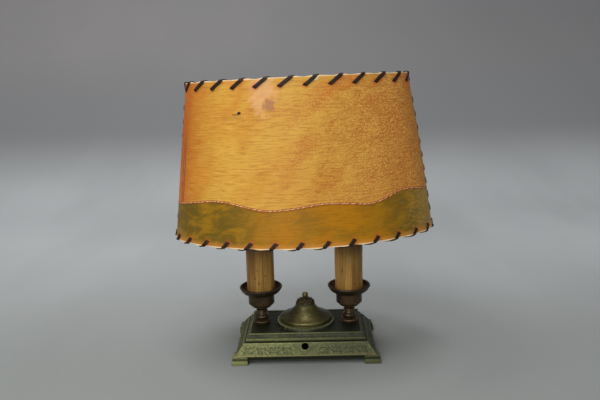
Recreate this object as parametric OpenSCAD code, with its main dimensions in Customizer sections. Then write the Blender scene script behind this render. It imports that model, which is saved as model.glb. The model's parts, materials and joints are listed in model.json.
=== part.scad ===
// Two-light candle table lamp: a cast stepped base, a bell dome with a ball finial,
// two candle arms with medium-base sockets and an oval laced parchment shade that
// clips onto the bulbs. Millimetres, +Z up, front towards -Y. The origin is the
// middle of the base, on the plane that its feet stand on.

/* [Base casting] */
// Width over the feet
base_w = 165; // [155:1:185]
// Depth over the feet
base_d = 110; // [104:1:125]
// Level thickness of the cast side walls
wall = 3; // [2:0.1:3.6]
// Thickness of the cast top plate
plate_t = 3; // [2:0.1:3.6]
// Height of the foot pads
foot_h = 4.9; // [4.6:0.1:6]
// Length of each foot along either side
foot_len = 18; // [12:1:24]
// Setback of the block above each foot pad
foot_step = 1.3; // [0.8:0.1:2]
// Height of the gap under the fascia between the feet
gap_h = 4.4; // [4.2:0.1:4.6]
// Setback of the fascia from the feet
fascia_in = 3.7; // [3:0.1:5]
// Height of the fascia's top edge
fascia_z = 8.5; // [7.5:0.1:10]
// Level run of the sloping side panels
panel_run = 9.7; // [8:0.1:11]
// Height of the sloping side panels
panel_rise = 12.15; // [11:0.05:14]
// Setback of the groove above the panels
groove_in = 2.8; // [2:0.1:3.5]
// Height of that groove
groove_h = 1.1; // [0.8:0.1:1.6]
// Setback of the lower bead from the panels' top edge
bead_in = 2.35; // [1.8:0.05:2.7]
// Height of the lower bead
bead_h = 2.55; // [2:0.05:3.2]
// Level depth of the cove above the bead
cove_run = 2.5; // [1.5:0.1:3]
// Height of the cove
cove_h = 4; // [3.4:0.1:6]
// Height of the rim round the top plate
rim_h = 1.2; // [1:0.1:2.4]
// Width of the rim round the top plate
rim_w = 2.6; // [1.5:0.1:4]
// Depth of the top plate below its rim
plate_drop = 0.6; // [0.3:0.1:1]
// Radius of the screw bosses under the base
boss_r = 4.5; // [4:0.1:6]
// Thickness of the bottom cover
cover_t = 1.2; // [0.8:0.1:1.6]
// Diameter of the bottom cover's screws
cover_screw_d = 4; // [3:0.1:4.5]

/* [Wall holes] */
// Diameter of the switch hole in the front panel
switch_d = 8; // [6:0.1:8.4]
// Distance of the switch hole's middle below the panel's top edge, along the slope
switch_down = 4.4; // [4.3:0.1:6]
// Place of the switch hole beside the middle of its panel, to the right above 0
switch_aside = -0.8; // [-4:0.1:4]
// Wall length of the switch hole, with its boss
switch_len = 5; // [4:0.1:6]
// Bore of the cord bushing in the back panel
cord_bore_d = 7; // [6:0.1:8]
// Place of the cord bushing beside the middle of its panel, to the right above 0
cord_aside = 0.8; // [-4:0.1:4]
// Wall of the cord bushing
bushing_wall = 1.5; // [1.2:0.1:2]
// Width of the bushing's flange beyond its barrel
bushing_flange = 2; // [1:0.1:3]

/* [Dome] */
// Outside diameter of the dome's rim
dome_d = 60; // [50:0.5:64]
// Height of the dome above the top plate
dome_h = 22.2; // [20:0.1:30]
// Diameter of the dome's flat top
dome_top_d = 22.6; // [18:0.2:24]
// Wall of the dome
dome_wall = 1.3; // [1:0.1:2]
// Height of the seat ring round the dome
seat_h = 3.6; // [3:0.1:5]
// Width of the seat ring
seat_w = 3.6; // [2.5:0.1:5]
// Height of the crown under the finial
crown_h = 7.2; // [5:0.1:8]
// Number of lobes round the crown
crown_lobes = 10; // [8:1:12]
// Diameter of the ball finial
ball_d = 7; // [6:0.1:9]
// Diameter of the threaded rod through the dome
rod_d = 3.2; // [2.6:0.1:3.4]

/* [Candle arms] */
// Distance between the two candles
candle_spacing = 102; // [94:1:112]
// Height of the turned stems
stem_h = 20.3; // [19:0.1:30]
// Radius of the stem's foot
stem_foot_r = 9.6; // [9:0.1:11]
// Outside diameter of the threaded tube through each arm
nipple_d = 10.16; // [9.6:0.02:10.4]
// Wall of the threaded tube
nipple_wall = 1.4; // [1:0.1:1.6]
// Radius of the cup's round body
cup_r = 15; // [14.2:0.1:15.6]
// Height of the ledge that the sleeve stands on, above the cup's foot
cup_ledge = 17.8; // [16:0.1:22]
// Radius over the cup's flared rim
cup_rim_r = 24.6; // [23:0.1:27]
// Height of the rim above the ledge
cup_flare_h = 5.7; // [5:0.1:9]
// Thickness of the rolled rim
cup_lip = 2.6; // [2.2:0.1:4.4]
// Thickness of the cup's wall
cup_wall = 1.8; // [1.4:0.1:2]

/* [Sleeves and sockets] */
// Outside diameter of the candle sleeve
sleeve_d = 32; // [31.6:0.1:33]
// Wall of the candle sleeve
sleeve_wall = 1; // [0.6:0.1:1.1]
// Length of the candle sleeve
sleeve_len = 109; // [90:0.5:140]
// Depth of the socket's mouth below the sleeve's top
socket_down = 2; // [1:0.1:5]
// Length of the socket
socket_len = 44; // [42:0.5:50]
// Outside diameter of the socket's insulating body
socket_d = 29.4; // [29.2:0.1:29.6]
// Diameter of one insulated lead
lead_d = 2.2; // [1.6:0.1:2.4]
// Diameter of a taped splice
splice_d = 5.2; // [4:0.1:5.4]
// Length of a taped splice
splice_len = 20; // [12:1:26]

/* [Bulbs] */
// Diameter of the bulb
bulb_d = 60; // [50:1:64]
// Length of the bulb with its cap
bulb_len = 110; // [104:1:118]
// Diameter of the screw cap
cap_d = 26.2; // [25.8:0.1:26.3]
// Length of the screw cap with its contact
cap_len = 24; // [22:0.5:26]
// Thickness of the glass
glass_t = 0.8; // [0.5:0.1:1.5]

/* [Shade] */
// Width of the shade's bottom edge
shade_w = 288; // [260:1:310]
// Depth of the shade's bottom edge
shade_d = 213; // [196:1:225]
// Radius of the oval's ends at the bottom edge
shade_end_r = 82; // [70:1:90]
// Height of the shade
shade_h = 167; // [140:1:190]
// Inward run of the shade's side from bottom to top
shade_taper = 23; // [12:1:30]
// Height of the shade's top edge above the crossbar
shade_above = 45.3; // [38:0.1:60]
// Forward tilt of the shade, its front edge up
shade_tilt = 2.1; // [0:0.1:4]
// Sideways lean of the shade, its left edge down
shade_lean = 1.34; // [0:0.01:2]
// Place of the crossbar's middle left of the base's middle
bar_left = 2.2; // [0:0.1:4]
// Place of the crossbar behind the bulbs' middles
bar_back = 3.2; // [0:0.1:4]
// Thickness of the parchment
parchment_t = 1; // [0.6:0.1:1.6]
// Diameter of the frame's ring and rib wire
wire_d = 3.2; // [2.4:0.1:4]
// Diameter of the crossbar
bar_d = 4; // [3:0.1:5]
// Diameter of the clip wire
clip_d = 1.8; // [1.4:0.1:2.4]
// Outside diameter of the clip's eye on the crossbar
eye_d = 8.1; // [7:0.1:10]
// Length of that eye
eye_len = 8; // [5:0.5:12]

/* [Lacing] */
// Width of the flat lace
lace_w = 3.2; // [2:0.1:4.5]
// Thickness of the lace
lace_t = 0.9; // [0.6:0.1:1.4]
// Number of stitches round the top edge
stitches_top = 26; // [20:1:30]
// Number of stitches round the bottom edge
stitches_bottom = 30; // [24:1:36]
// Distance of the lacing's slots from the edge
stitch_depth = 9; // [7:0.5:12]
// Lean of the edge stitches away from upright
stitch_lean = 42; // [0:1:50]
// Distance between the stitches of the side seams
seam_pitch = 15; // [10:0.5:24]
// Distance of the side seams' slots from the seam
seam_reach = 5; // [4:0.5:8]

/* [Hidden] */
$fn = 64;

eps = 0.01;
far = 400;
left = -1;
right = 1;

// Clearances
weld_gap = 0.05;
thread_gap = 0.05;
slip_gap = 0.1;
loose_gap = 0.3;
cover_gap = 0.5;

// Heights of the base
panel_z = fascia_z + panel_rise;
bead_z = panel_z + groove_h;
cove_z = bead_z + bead_h;
rim_z = cove_z + cove_h + rim_h;
plate_z = rim_z - plate_drop;
roof_z = plate_z - plate_t;
shelf_t = 2.4;
cover_z = gap_h + 0.6;

// Setbacks of the base's sides, counted from the feet
panel_in = fascia_in + panel_run;
cove_foot = panel_in + bead_in + 1.25;
rim_in = cove_foot + cove_run - 0.6;
roof_in = cove_foot + cove_run + wall;
plate_in = rim_in + rim_w;

// Sloping panels
panel_len = norm([panel_run, panel_rise]);
panel_angle = atan2(panel_rise, panel_run);
pad_r = 2;

// Screw bosses
boss_in = [26.5, 26];
boss_x = base_w / 2 - boss_in[0];
boss_y = base_d / 2 - boss_in[1];
screw_head_r = 3.6;
screw_head_h = 1.6;
screw_len = 10;

// Bushing
barrel_r = cord_bore_d / 2 + bushing_wall;
flange_t = 1.6;
bushing_len = flange_t + switch_len + 1.5;

// Dome and finial
rod_r = rod_d / 2;
skirt_r = dome_d / 2 - 1.4;
seat_floor = 1.2;
crown_z = plate_z + dome_h;
finial_z = crown_z + crown_h + slip_gap;
ball_z = finial_z + ball_d / 2 - 0.2;
neck_r = 2.6;
nut_h = 3;
rod_nut_r = 3.6;

// Candle arms
candle_x = candle_spacing / 2;
nipple_r = nipple_d / 2;
nipple_bore_r = nipple_r - nipple_wall;
cup_z = plate_z + stem_h;
cup_floor = 3;
ledge_z = cup_z + cup_ledge;
rim_mid_z = ledge_z + cup_flare_h;
washer_t = 1.2;
locknut_h = 4;
locknut_r = 8.2;
washer_r = 8.6;
nipple_z = roof_z - washer_t - locknut_h - 2.8;
thimble_h = 9;
thimble_r = 7.5;
strap_t = 1.2;
bracket_z = ledge_z + slip_gap;
bracket_top = bracket_z + thimble_h;
nipple_top = bracket_top - strap_t - weld_gap;

// Sleeves and sockets
sleeve_r = sleeve_d / 2;
sleeve_top = ledge_z + slip_gap + sleeve_len;
socket_top = sleeve_top - socket_down;
socket_z = socket_top - socket_len;
socket_r = socket_d / 2;
shell_gap = 0.2;
shell_r = cap_d / 2 + shell_gap;
shell_t = 0.55;
body_bore_r = shell_r + shell_t + weld_gap;
well_r = 10;
well_z = socket_z + 6;
step_z = socket_z + 16;
shell_floor_t = 0.6;
strap_w = 9;
strap_y = 9;
tab_y = 7;

// Leads
lead_y = lead_d / 2 + 0.8;
lead_z = roof_z - 15;
lead_bend = 6;
splice_x = 14;

// Bulbs: the one on the higher side of the shade is screwed in less far
bulb_r = bulb_d / 2;
bulb_shift = candle_x * tan(shade_lean);
tip_z = socket_top - cap_len - 1;
bulb_z = tip_z + bulb_len - bulb_r;
neck_end = 40;

// Clips and crossbar
arch_r = bulb_r + loose_gap + clip_d / 2;
bar_r = bar_d / 2;
eye_sink = 0.6;
bar_z = bulb_z + arch_r + clip_d / 2 + eye_d / 2 - eye_sink;
pivot = [-bar_left, bar_back, bar_z - bar_left * tan(shade_lean)];

// Shade, in its own frame: origin on the crossbar, +Z along the shade's own axis
wire_r = wire_d / 2;
top_z = shade_above;
low_z = shade_above - shade_h;
side_angle = atan2(shade_taper, shade_h);
half_w = shade_w / 2;
half_d = shade_d / 2;
side_r = (pow(half_w - shade_end_r, 2) + half_d * half_d - shade_end_r * shade_end_r)
         / (2 * (half_d - shade_end_r));
end_mid = half_w - shade_end_r;
side_mid = side_r - half_d;
arc_turn = atan2(end_mid, side_mid);
wire_in = (parchment_t + loose_gap + wire_r) / cos(side_angle);
ring_drop = wire_r + 0.6;
seam_gap = 0.4;
bearing_step = 5;

// Lacing loops
loop_out = 0.25;
loop_in = parchment_t + loose_gap + wire_d + 0.8;
loop_over = 0.8;
slot_gap = 0.15;

// A smooth curve from a to b that heads for c at both of its ends
function curve(a, c, b, n = 8) =
    [for (i = [0 : n]) let (t = i / n) (1 - t) * (1 - t) * a + 2 * t * (1 - t) * c + t * t * b];

// An arc round a middle point, from one angle to another
function arc(mid, r, from, to, n = 12) =
    [for (i = [0 : n]) let (t = from + (to - from) * i / n) mid + r * [cos(t), sin(t)]];

function reversed(list) = [for (i = [len(list) - 1 : -1 : 0]) list[i]];

// Moves outline points sideways and up
function shifted(list, by) = [for (p = list) p + by];

// Setback and height of each corner of the base's mouldings, from the fascia up
function moulding() = concat(
    [[fascia_in, gap_h], [fascia_in, fascia_z], [panel_in, panel_z],
     [panel_in + groove_in, panel_z], [panel_in + groove_in, bead_z],
     [panel_in + bead_in, bead_z], [panel_in + bead_in, cove_z]],
    [for (i = [0 : 5]) let (t = i * 18)
        [cove_foot + cove_run * sin(t), cove_z + cove_h * (1 - cos(t))]],
    [[rim_in, cove_z + cove_h], [rim_in, rim_z]]);

// The same for the hollow inside the casting
function hollow() =
    let (k = 1 - shelf_t / panel_rise)
    [[fascia_in + wall, -1], [fascia_in + wall, fascia_z],
     [fascia_in + wall + panel_run * k, fascia_z + panel_rise * k],
     [roof_in, fascia_z + panel_rise * k], [roof_in, roof_z]];

// Two outlines crossed, so that the mouldings meet in mitres at the corners
module mitred(profile) {
    intersection() {
        rotate([90, 0, 0])
            linear_extrude(height = base_d + 2, center = true)
                side_outline(profile, base_w / 2);
        rotate([90, 0, 90])
            linear_extrude(height = base_w + 2, center = true)
                side_outline(profile, base_d / 2);
    }
}

module side_outline(profile, half) {
    polygon(concat([for (p = profile) [half - p[0], p[1]]],
                   reversed([for (p = profile) [p[0] - half, p[1]]])));
}

// A block with a given setback from the feet, between two heights
module slab(inset, z0, z1) {
    translate([inset - base_w / 2, inset - base_d / 2, z0])
        cube([base_w - 2 * inset, base_d - 2 * inset, z1 - z0]);
}

// The four corner squares that the feet stand in
module foot_corners(side) {
    for (sx = [left, right], sy = [-1, 1])
        translate([sx * (base_w - side) / 2, sy * (base_d - side) / 2, foot_h])
            cube([side + eps, side + eps, 2 * foot_h], center = true);
}

module feet() {
    intersection() {
        union() {
            slab(0, 0, foot_h);
            slab(foot_step, foot_h - eps, fascia_z);
        }
        foot_corners(foot_len);
    }
}

// Puts its children on a sloping panel: +Z out of the panel, the origin on its face.
// down is the distance below the panel's top edge, aside the distance to the right of
// its middle, side is -1 in front and 1 behind.
module on_panel(side, down, aside) {
    k = down / panel_len;
    y = base_d / 2 - panel_in + panel_run * k;
    translate([aside, side * y, panel_z - panel_rise * k])
        rotate([-side * panel_angle, 0, 0])
            children();
}

module wall_boss(bore_r) {
    translate([0, 0, -switch_len])
        cylinder(r = bore_r + pad_r, h = switch_len);
}

module wall_bore(r) {
    translate([0, 0, -3 * switch_len])
        cylinder(r = r, h = 4 * switch_len);
}

module screw_places() {
    for (sx = [left, right], sy = [-1, 1])
        translate([sx * boss_x, sy * boss_y, 0])
            children();
}

module tube(r, bore, h) {
    difference() {
        cylinder(r = r, h = h);
        translate([0, 0, -1])
            cylinder(r = bore, h = h + 2);
    }
}

module hex_nut(r, bore, h) {
    difference() {
        cylinder(r = r, h = h, $fn = 6);
        translate([0, 0, -1])
            cylinder(r = bore, h = h + 2);
    }
}

module base_casting() {
    color("darkolivegreen")
        difference() {
            union() {
                difference() {
                    union() {
                        mitred(moulding());
                        feet();
                    }
                    mitred(hollow());
                    slab(plate_in, plate_z, rim_z + 1);
                }
                intersection() {
                    mitred(moulding());
                    union() {
                        intersection() {
                            slab(0, cover_z + cover_t + loose_gap, rim_z);
                            union() {
                                on_panel(-1, switch_down, switch_aside)
                                    wall_boss(switch_d / 2);
                                on_panel(1, panel_len / 2, cord_aside)
                                    wall_boss(barrel_r);
                            }
                        }
                        translate([0, 0, cover_z + cover_t])
                            screw_places()
                                cylinder(r = boss_r, h = roof_z - cover_z - cover_t + eps);
                    }
                }
                translate([0, 0, plate_z - eps])
                    cylinder(r = skirt_r + loose_gap + seat_w, h = seat_h + eps);
            }
            translate([0, 0, plate_z + seat_floor])
                cylinder(r = skirt_r + loose_gap, h = seat_h);
            on_panel(-1, switch_down, switch_aside)
                wall_bore(switch_d / 2);
            on_panel(1, panel_len / 2, cord_aside)
                wall_bore(barrel_r + slip_gap);
            screw_places()
                translate([0, 0, cover_z])
                    cylinder(r = cover_screw_d / 2 + thread_gap, h = screw_len + 2);
            for (side = [left, right])
                translate([side * candle_x, 0, roof_z - 1])
                    cylinder(r = nipple_r + slip_gap, h = plate_t + 2);
            translate([0, 0, roof_z - 1])
                cylinder(r = rod_r + slip_gap, h = plate_t + seat_floor + 2);
        }
}

module bottom_cover() {
    inset = fascia_in + wall + cover_gap;
    color("dimgray")
        difference() {
            slab(inset, cover_z, cover_z + cover_t);
            screw_places()
                cylinder(r = cover_screw_d / 2 + slip_gap, h = 2 * cover_z);
        }
}

module bottom_cover_screws() {
    color("silver")
        screw_places() {
            translate([0, 0, cover_z - screw_head_h])
                cylinder(r = screw_head_r, h = screw_head_h);
            translate([0, 0, cover_z - eps])
                cylinder(r = cover_screw_d / 2, h = screw_len);
        }
}

module cord_bushing() {
    color("saddlebrown")
        on_panel(1, panel_len / 2, cord_aside)
            difference() {
                union() {
                    cylinder(r = barrel_r + bushing_flange, h = flange_t);
                    translate([0, 0, flange_t - bushing_len])
                        cylinder(r = barrel_r, h = bushing_len - flange_t + eps);
                }
                translate([0, 0, -bushing_len])
                    cylinder(r = cord_bore_d / 2, h = 2 * bushing_len);
            }
}

// Outline of the dome's outside, from the foot of its skirt to its flat top
function dome_outline() =
    let (r = dome_d / 2, z = plate_z + seat_floor, top = dome_top_d / 2)
    concat([[skirt_r, z], [skirt_r, z + 4], [r, z + 4.9], [r, z + 6.2], [r - 1.2, z + 7]],
           curve([r - 1.2, z + 7], [top + 5.2, z + 10.6], [top, crown_z - 1]),
           [[top, crown_z]]);

module dome_cover() {
    outline = dome_outline();
    inside = shifted(outline, [-dome_wall, -dome_wall]);
    color("olivedrab")
        difference() {
            rotate_extrude()
                polygon(concat([[0, plate_z + seat_floor]], outline, [[0, crown_z]]));
            rotate_extrude()
                polygon(concat([[0, plate_z]], [[skirt_r - dome_wall, plate_z]],
                               inside, [[0, crown_z - dome_wall]]));
            translate([0, 0, crown_z - 2 * dome_wall])
                cylinder(r = rod_r + slip_gap, h = 3 * dome_wall);
        }
}

module dome_crown() {
    lobe_r = 2.1;
    lobe_mid = dome_top_d / 2 - 1.2 - lobe_r;
    color("goldenrod")
        difference() {
            union() {
                translate([0, 0, crown_z])
                    cylinder(r = dome_top_d / 2 - 0.6, h = 1.2);
                rotate_extrude()
                    polygon(concat([[0, crown_z + 1]], [[dome_top_d / 2 - 2, crown_z + 1]],
                                   curve([dome_top_d / 2 - 2, crown_z + 1.2],
                                         [dome_top_d / 2 - 3, crown_z + crown_h - 1.4],
                                         [neck_r + 0.8, crown_z + crown_h]),
                                   [[0, crown_z + crown_h]]));
                for (i = [0 : crown_lobes - 1])
                    rotate([0, 0, i * 360 / crown_lobes])
                        translate([lobe_mid, 0, crown_z + 1.2 + lobe_r])
                            sphere(r = lobe_r);
            }
            translate([0, 0, crown_z - 1])
                cylinder(r = rod_r + slip_gap, h = crown_h + 2);
        }
}

module ball_finial() {
    color("goldenrod")
        difference() {
            union() {
                translate([0, 0, finial_z])
                    cylinder(r = neck_r, h = ball_d / 2);
                translate([0, 0, ball_z])
                    sphere(d = ball_d);
            }
            translate([0, 0, finial_z - 1])
                cylinder(r = rod_r + slip_gap, h = ball_d / 2 + 2);
        }
}

module dome_rod() {
    z0 = roof_z - nut_h - 3;
    color("silver")
        translate([0, 0, z0])
            cylinder(r = rod_r, h = ball_z - z0);
}

module dome_rod_nuts() {
    color("silver")
        for (z = [roof_z - nut_h - weld_gap, plate_z + seat_floor + weld_gap])
            translate([0, 0, z])
                hex_nut(rod_nut_r, rod_r + thread_gap, nut_h);
}

module at_candle(side) {
    translate([side * candle_x, 0, 0])
        children();
}

// Outline of the turned stem, as radius and height above the plate
function stem_outline() =
    let (r = stem_foot_r, waist = nipple_r + 1.6, h = stem_h)
    concat([[r, 0], [r, 2.8], [r - 1.6, 3.2]],
           curve([r - 1.6, 3.4], [r + 1.6, 7.4], [waist, h - 8]),
           [[waist, h - 7.4], [waist + 1.4, h - 6.8], [waist + 1.4, h - 5.6],
            [waist, h - 5], [waist, h - 3.8], [waist + 2, h - 3.2],
            [waist + 2, h - 2], [waist + 0.7, h - 1.4], [waist + 0.7, h]]);

module stem(side) {
    bore = nipple_r + slip_gap;
    color("sienna")
        at_candle(side)
            translate([0, 0, plate_z])
                rotate_extrude()
                    polygon(concat([[bore, 0]], stem_outline(), [[bore, stem_h]]));
}

// The cup: a footed round body with a ledge for the sleeve and a flared, rolled rim
module cup(side) {
    bore = nipple_r + slip_gap;
    lip_r = cup_lip / 2;
    lip_mid = cup_rim_r - lip_r;
    pocket_r = sleeve_r + 0.4;
    color("darkgoldenrod")
        at_candle(side) {
            rotate_extrude()
                polygon(concat(
                    [[bore, cup_z], [cup_r - 4.2, cup_z], [cup_r, cup_z + 4.3],
                     [cup_r, ledge_z - 2.2]],
                    curve([pocket_r + 0.4, ledge_z - 1.8], [lip_mid - 1, ledge_z - 0.6],
                          [lip_mid + 0.6, rim_mid_z - 1]),
                    [[lip_mid, rim_mid_z + 0.8]],
                    curve([lip_mid - 1, rim_mid_z], [lip_mid - 2.4, ledge_z + 1.2],
                          [pocket_r, ledge_z + 0.6]),
                    [[pocket_r, ledge_z], [cup_r - cup_wall, ledge_z],
                     [cup_r - cup_wall, cup_z + cup_floor], [bore, cup_z + cup_floor]]));
            translate([0, 0, rim_mid_z])
                rotate_extrude()
                    translate([lip_mid, 0])
                        circle(r = lip_r);
        }
}

module nipple(side) {
    color("silver")
        at_candle(side)
            translate([0, 0, nipple_z])
                tube(nipple_r, nipple_bore_r, nipple_top - nipple_z);
}

module washers(side) {
    color("gray")
        at_candle(side)
            for (z = [roof_z - washer_t, cup_z + cup_floor])
                translate([0, 0, z])
                    tube(washer_r, nipple_r + slip_gap, washer_t);
}

module locknuts(side) {
    color("gray")
        at_candle(side)
            for (z = [roof_z - washer_t - locknut_h, cup_z + cup_floor + washer_t])
                translate([0, 0, z])
                    hex_nut(locknut_r, nipple_r + thread_gap, locknut_h);
}

// A threaded thimble on the nipple and a strap that carries the socket
module socket_bracket(side) {
    color("silver")
        at_candle(side)
            difference() {
                union() {
                    translate([0, 0, bracket_z])
                        cylinder(r = thimble_r, h = thimble_h);
                    strap_tab(bracket_top - strap_t);
                    translate([-strap_w / 2, strap_y, bracket_top - strap_t])
                        cube([strap_w, strap_t, socket_z - bracket_top + strap_t]);
                    strap_tab(socket_z - strap_t);
                }
                translate([0, 0, bracket_z - 1])
                    cylinder(r = nipple_r + thread_gap, h = thimble_h + 1 - strap_t);
                translate([0, 0, bracket_z])
                    cylinder(r = nipple_bore_r, h = socket_z - bracket_z + 1);
            }
}

// Level end of the strap, across the candle's axis
module strap_tab(z) {
    translate([-strap_w / 2, -tab_y, z])
        cube([strap_w, tab_y + strap_y + strap_t, strap_t]);
}

module socket_body(side) {
    color("black")
        at_candle(side)
            difference() {
                translate([0, 0, socket_z])
                    cylinder(r = socket_r, h = socket_len);
                translate([0, 0, well_z])
                    cylinder(r = well_r, h = socket_len);
                translate([0, 0, step_z])
                    cylinder(r = body_bore_r, h = socket_len);
            }
}

module screw_shell(side) {
    color("gold")
        at_candle(side)
            difference() {
                translate([0, 0, step_z])
                    cylinder(r = shell_r + shell_t, h = socket_top - step_z - 0.7);
                translate([0, 0, step_z + shell_floor_t])
                    cylinder(r = shell_r, h = socket_len);
                translate([0, 0, step_z - 1])
                    cylinder(r = well_r - 4, h = 4);
            }
}

// Height of a bulb's contact
function tip_of(side) = tip_z + side * bulb_shift;

module centre_contact(side) {
    color("gold")
        at_candle(side) {
            translate([0, 0, well_z])
                cylinder(r = well_r - 2, h = 1);
            translate([0, 0, well_z])
                cylinder(r = 2.5, h = tip_of(side) - loose_gap - well_z);
        }
}

module sleeve(side) {
    color("burlywood")
        at_candle(side)
            translate([0, 0, ledge_z + slip_gap])
                tube(sleeve_r, sleeve_r - sleeve_wall, sleeve_len);
}

// One lead on the right: down from the socket, round a bend and along to its splice
module lead(y, end_x) {
    color("tan") {
        translate([candle_x, y, lead_z + lead_bend])
            cylinder(d = lead_d, h = socket_z - weld_gap - lead_z - lead_bend);
        translate([candle_x - lead_bend, y, lead_z + lead_bend])
            rotate([-90, 0, 0])
                rotate_extrude(angle = 90)
                    translate([lead_bend, 0])
                        circle(d = lead_d);
        translate([end_x, y, lead_z])
            rotate([0, 90, 0])
                cylinder(d = lead_d, h = candle_x - lead_bend - end_x);
    }
}

module right_leads() {
    lead(-lead_y, -splice_x + splice_len / 2 + weld_gap);
    lead(lead_y, splice_x + splice_len / 2 + weld_gap);
}

module left_leads() {
    mirror([1, 0, 0]) {
        lead(-lead_y, splice_x + splice_len / 2 + weld_gap);
        lead(lead_y, -splice_x + splice_len / 2 + weld_gap);
    }
}

module splice(side) {
    color("black")
        translate([side * splice_x, side * lead_y, lead_z])
            rotate([0, 90, 0])
                cylinder(d = splice_d, h = splice_len, center = true);
}

module bulb_cap(side) {
    r = cap_d / 2;
    color("silver")
        at_candle(side)
            translate([0, 0, tip_of(side)])
                difference() {
                    rotate_extrude()
                        polygon([[0, 0], [4.5, 0], [4.5, 1.2], [r - 4, 2.6], [r - 0.5, 4],
                                 [r, 5], [r, cap_len], [0, cap_len]]);
                    translate([0, 0, 5])
                        cylinder(r = r - 0.6, h = cap_len);
                }
}

// Outline of a bulb above its contact, drawn in by t all over
function bulb_outline(t) =
    let (mid = bulb_len - bulb_r, r = bulb_r - t, neck = cap_d / 2 - t,
         join = [r * cos(neck_end), mid - r * sin(neck_end)],
         bend = join[1] - (join[0] - neck) / tan(neck_end))
    concat([[0, cap_len / 2 + t], [cap_d / 2 - 1 - t, cap_len / 2 + t],
            [cap_d / 2 - 1 - t, cap_len + weld_gap + t], [neck, cap_len + weld_gap + t]],
           curve([neck, cap_len + 1 + t], [neck, bend], join, 12),
           arc([0, mid], r, -neck_end + 4, 90, 24));

module bulb_glass(side) {
    color("lightgray", 0.5)
        at_candle(side)
            translate([0, 0, tip_of(side)])
                difference() {
                    rotate_extrude()
                        polygon(bulb_outline(0));
                    rotate_extrude()
                        polygon(bulb_outline(glass_t));
                }
}

// The glass stem, the support wires and the filament between them
module filament_mount(side) {
    stem_z = cap_len / 2 + glass_t + weld_gap;
    mid_z = bulb_len - bulb_r;
    wire = 0.4;
    spread = 9;
    support_foot = 2;
    support_h = 19;
    color("silver")
        at_candle(side)
            translate([0, 0, tip_of(side)]) {
                translate([0, 0, stem_z])
                    cylinder(r = 3.2, h = mid_z - stem_z - support_h + 1);
                for (sx = [left, right])
                    translate([sx * support_foot, 0, mid_z - support_h])
                        rotate([0, sx * atan2(spread - support_foot, support_h), 0])
                            cylinder(r = wire, h = norm([spread - support_foot, support_h]));
                translate([0, 0, mid_z])
                    rotate([0, 90, 0])
                        cylinder(r = 2 * wire, h = 2 * spread, center = true);
            }
}

// Two half hoops over the bulb and an eye that runs on the crossbar
module bulb_clip(side) {
    mid_z = bulb_z + side * bulb_shift;
    color("silver")
        difference() {
            union() {
                translate([side * candle_x, 0, mid_z])
                    for (turn = [0, 90])
                        rotate([0, 0, turn])
                            rotate([90, 0, 0])
                                rotate_extrude(angle = 180)
                                    translate([arch_r, 0])
                                        circle(d = clip_d);
                on_bar(side)
                    cylinder(d = eye_d, h = eye_len, center = true);
            }
            on_bar(side)
                cylinder(r = bar_r + 0.06, h = 3 * eye_len, center = true);
        }
}

// Puts its children on the crossbar above a candle, with +Z along the bar
module on_bar(side) {
    translate([side * candle_x, bar_back, bar_z + side * bulb_shift])
        rotate([0, 90 - shade_lean, 0])
            children();
}

// Puts its children in the shade's own frame
module in_shade() {
    translate(pivot)
        rotate([0, -shade_lean, 0])
            rotate([-shade_tilt, 0, 0])
                children();
}

// Middle of the oval's arc at a bearing
function arc_mid(turn) =
    abs(cos(turn)) < sin(arc_turn) ? [0, sin(turn) > 0 ? -side_mid : side_mid]
                                   : [cos(turn) > 0 ? end_mid : -end_mid, 0];

// Radius of the oval's arc at a bearing, on the bottom edge's outline
function arc_r(turn) = abs(cos(turn)) < sin(arc_turn) ? side_r : shade_end_r;

// A point of the oval at a bearing, drawn in by k
function oval_point(turn, k) = arc_mid(turn) + (arc_r(turn) - k) * [cos(turn), sin(turn)];

// How far the shade's side has drawn in at a height
function inset_at(z) = shade_taper * (z - low_z) / shade_h;

// Bearing after a share of the way round the oval drawn in by k
function bearing(share, k) =
    let (e = (shade_end_r - k) * (90 - arc_turn), s = (side_r - k) * arc_turn, all = 4 * (e + s))
    lookup(share * all, [[0, 0], [e, 90 - arc_turn], [e + 2 * s, 90 + arc_turn],
                         [3 * e + 2 * s, 270 - arc_turn], [3 * e + 4 * s, 270 + arc_turn],
                         [all, 360]]);

// Sweeps an outline round the oval, through a list of bearings. The outline's x is the
// distance outside the bottom edge, its y is the height, and it runs anticlockwise.
module swept(turns, outline, closed) {
    n = len(outline);
    m = len(turns);
    points = [for (t = turns, q = outline) let (p = oval_point(t, -q[0])) [p[0], p[1], q[1]]];
    sides = [for (i = [0 : closed ? m - 1 : m - 2], j = [0 : n - 1])
        let (k = (i + 1) % m, l = (j + 1) % n) [i * n + j, i * n + l, k * n + l, k * n + j]];
    caps = [[for (j = [n - 1 : -1 : 0]) j], [for (j = [0 : n - 1]) (m - 1) * n + j]];
    in_shade()
        polyhedron(points, closed ? sides : concat(sides, caps), convexity = 6);
}

module ring(z) {
    inset = inset_at(z) + wire_in;
    section = [for (t = [0 : 45 : 315]) [-inset, z] + wire_r * [cos(t), sin(t)]];
    color("gray")
        swept([each [0 : bearing_step : 360 - bearing_step]], section, true);
}

module rib(side) {
    foot = low_z + ring_drop;
    head = top_z - ring_drop;
    gap = wire_r + weld_gap;
    color("gray")
        in_shade()
            translate([side * (half_w - inset_at(foot) - wire_in), 0, foot])
                rotate([0, -side * side_angle, 0])
                    translate([0, 0, gap])
                        cylinder(r = wire_r, h = (head - foot) / cos(side_angle) - 2 * gap);
}

module shade_crossbar() {
    reach = half_w - inset_at(0) - wire_in - (wire_r + weld_gap) / cos(side_angle) - 0.3;
    color("gray")
        in_shade()
            rotate([0, 90, 0])
                cylinder(r = bar_r, h = 2 * reach, center = true);
}

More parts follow.
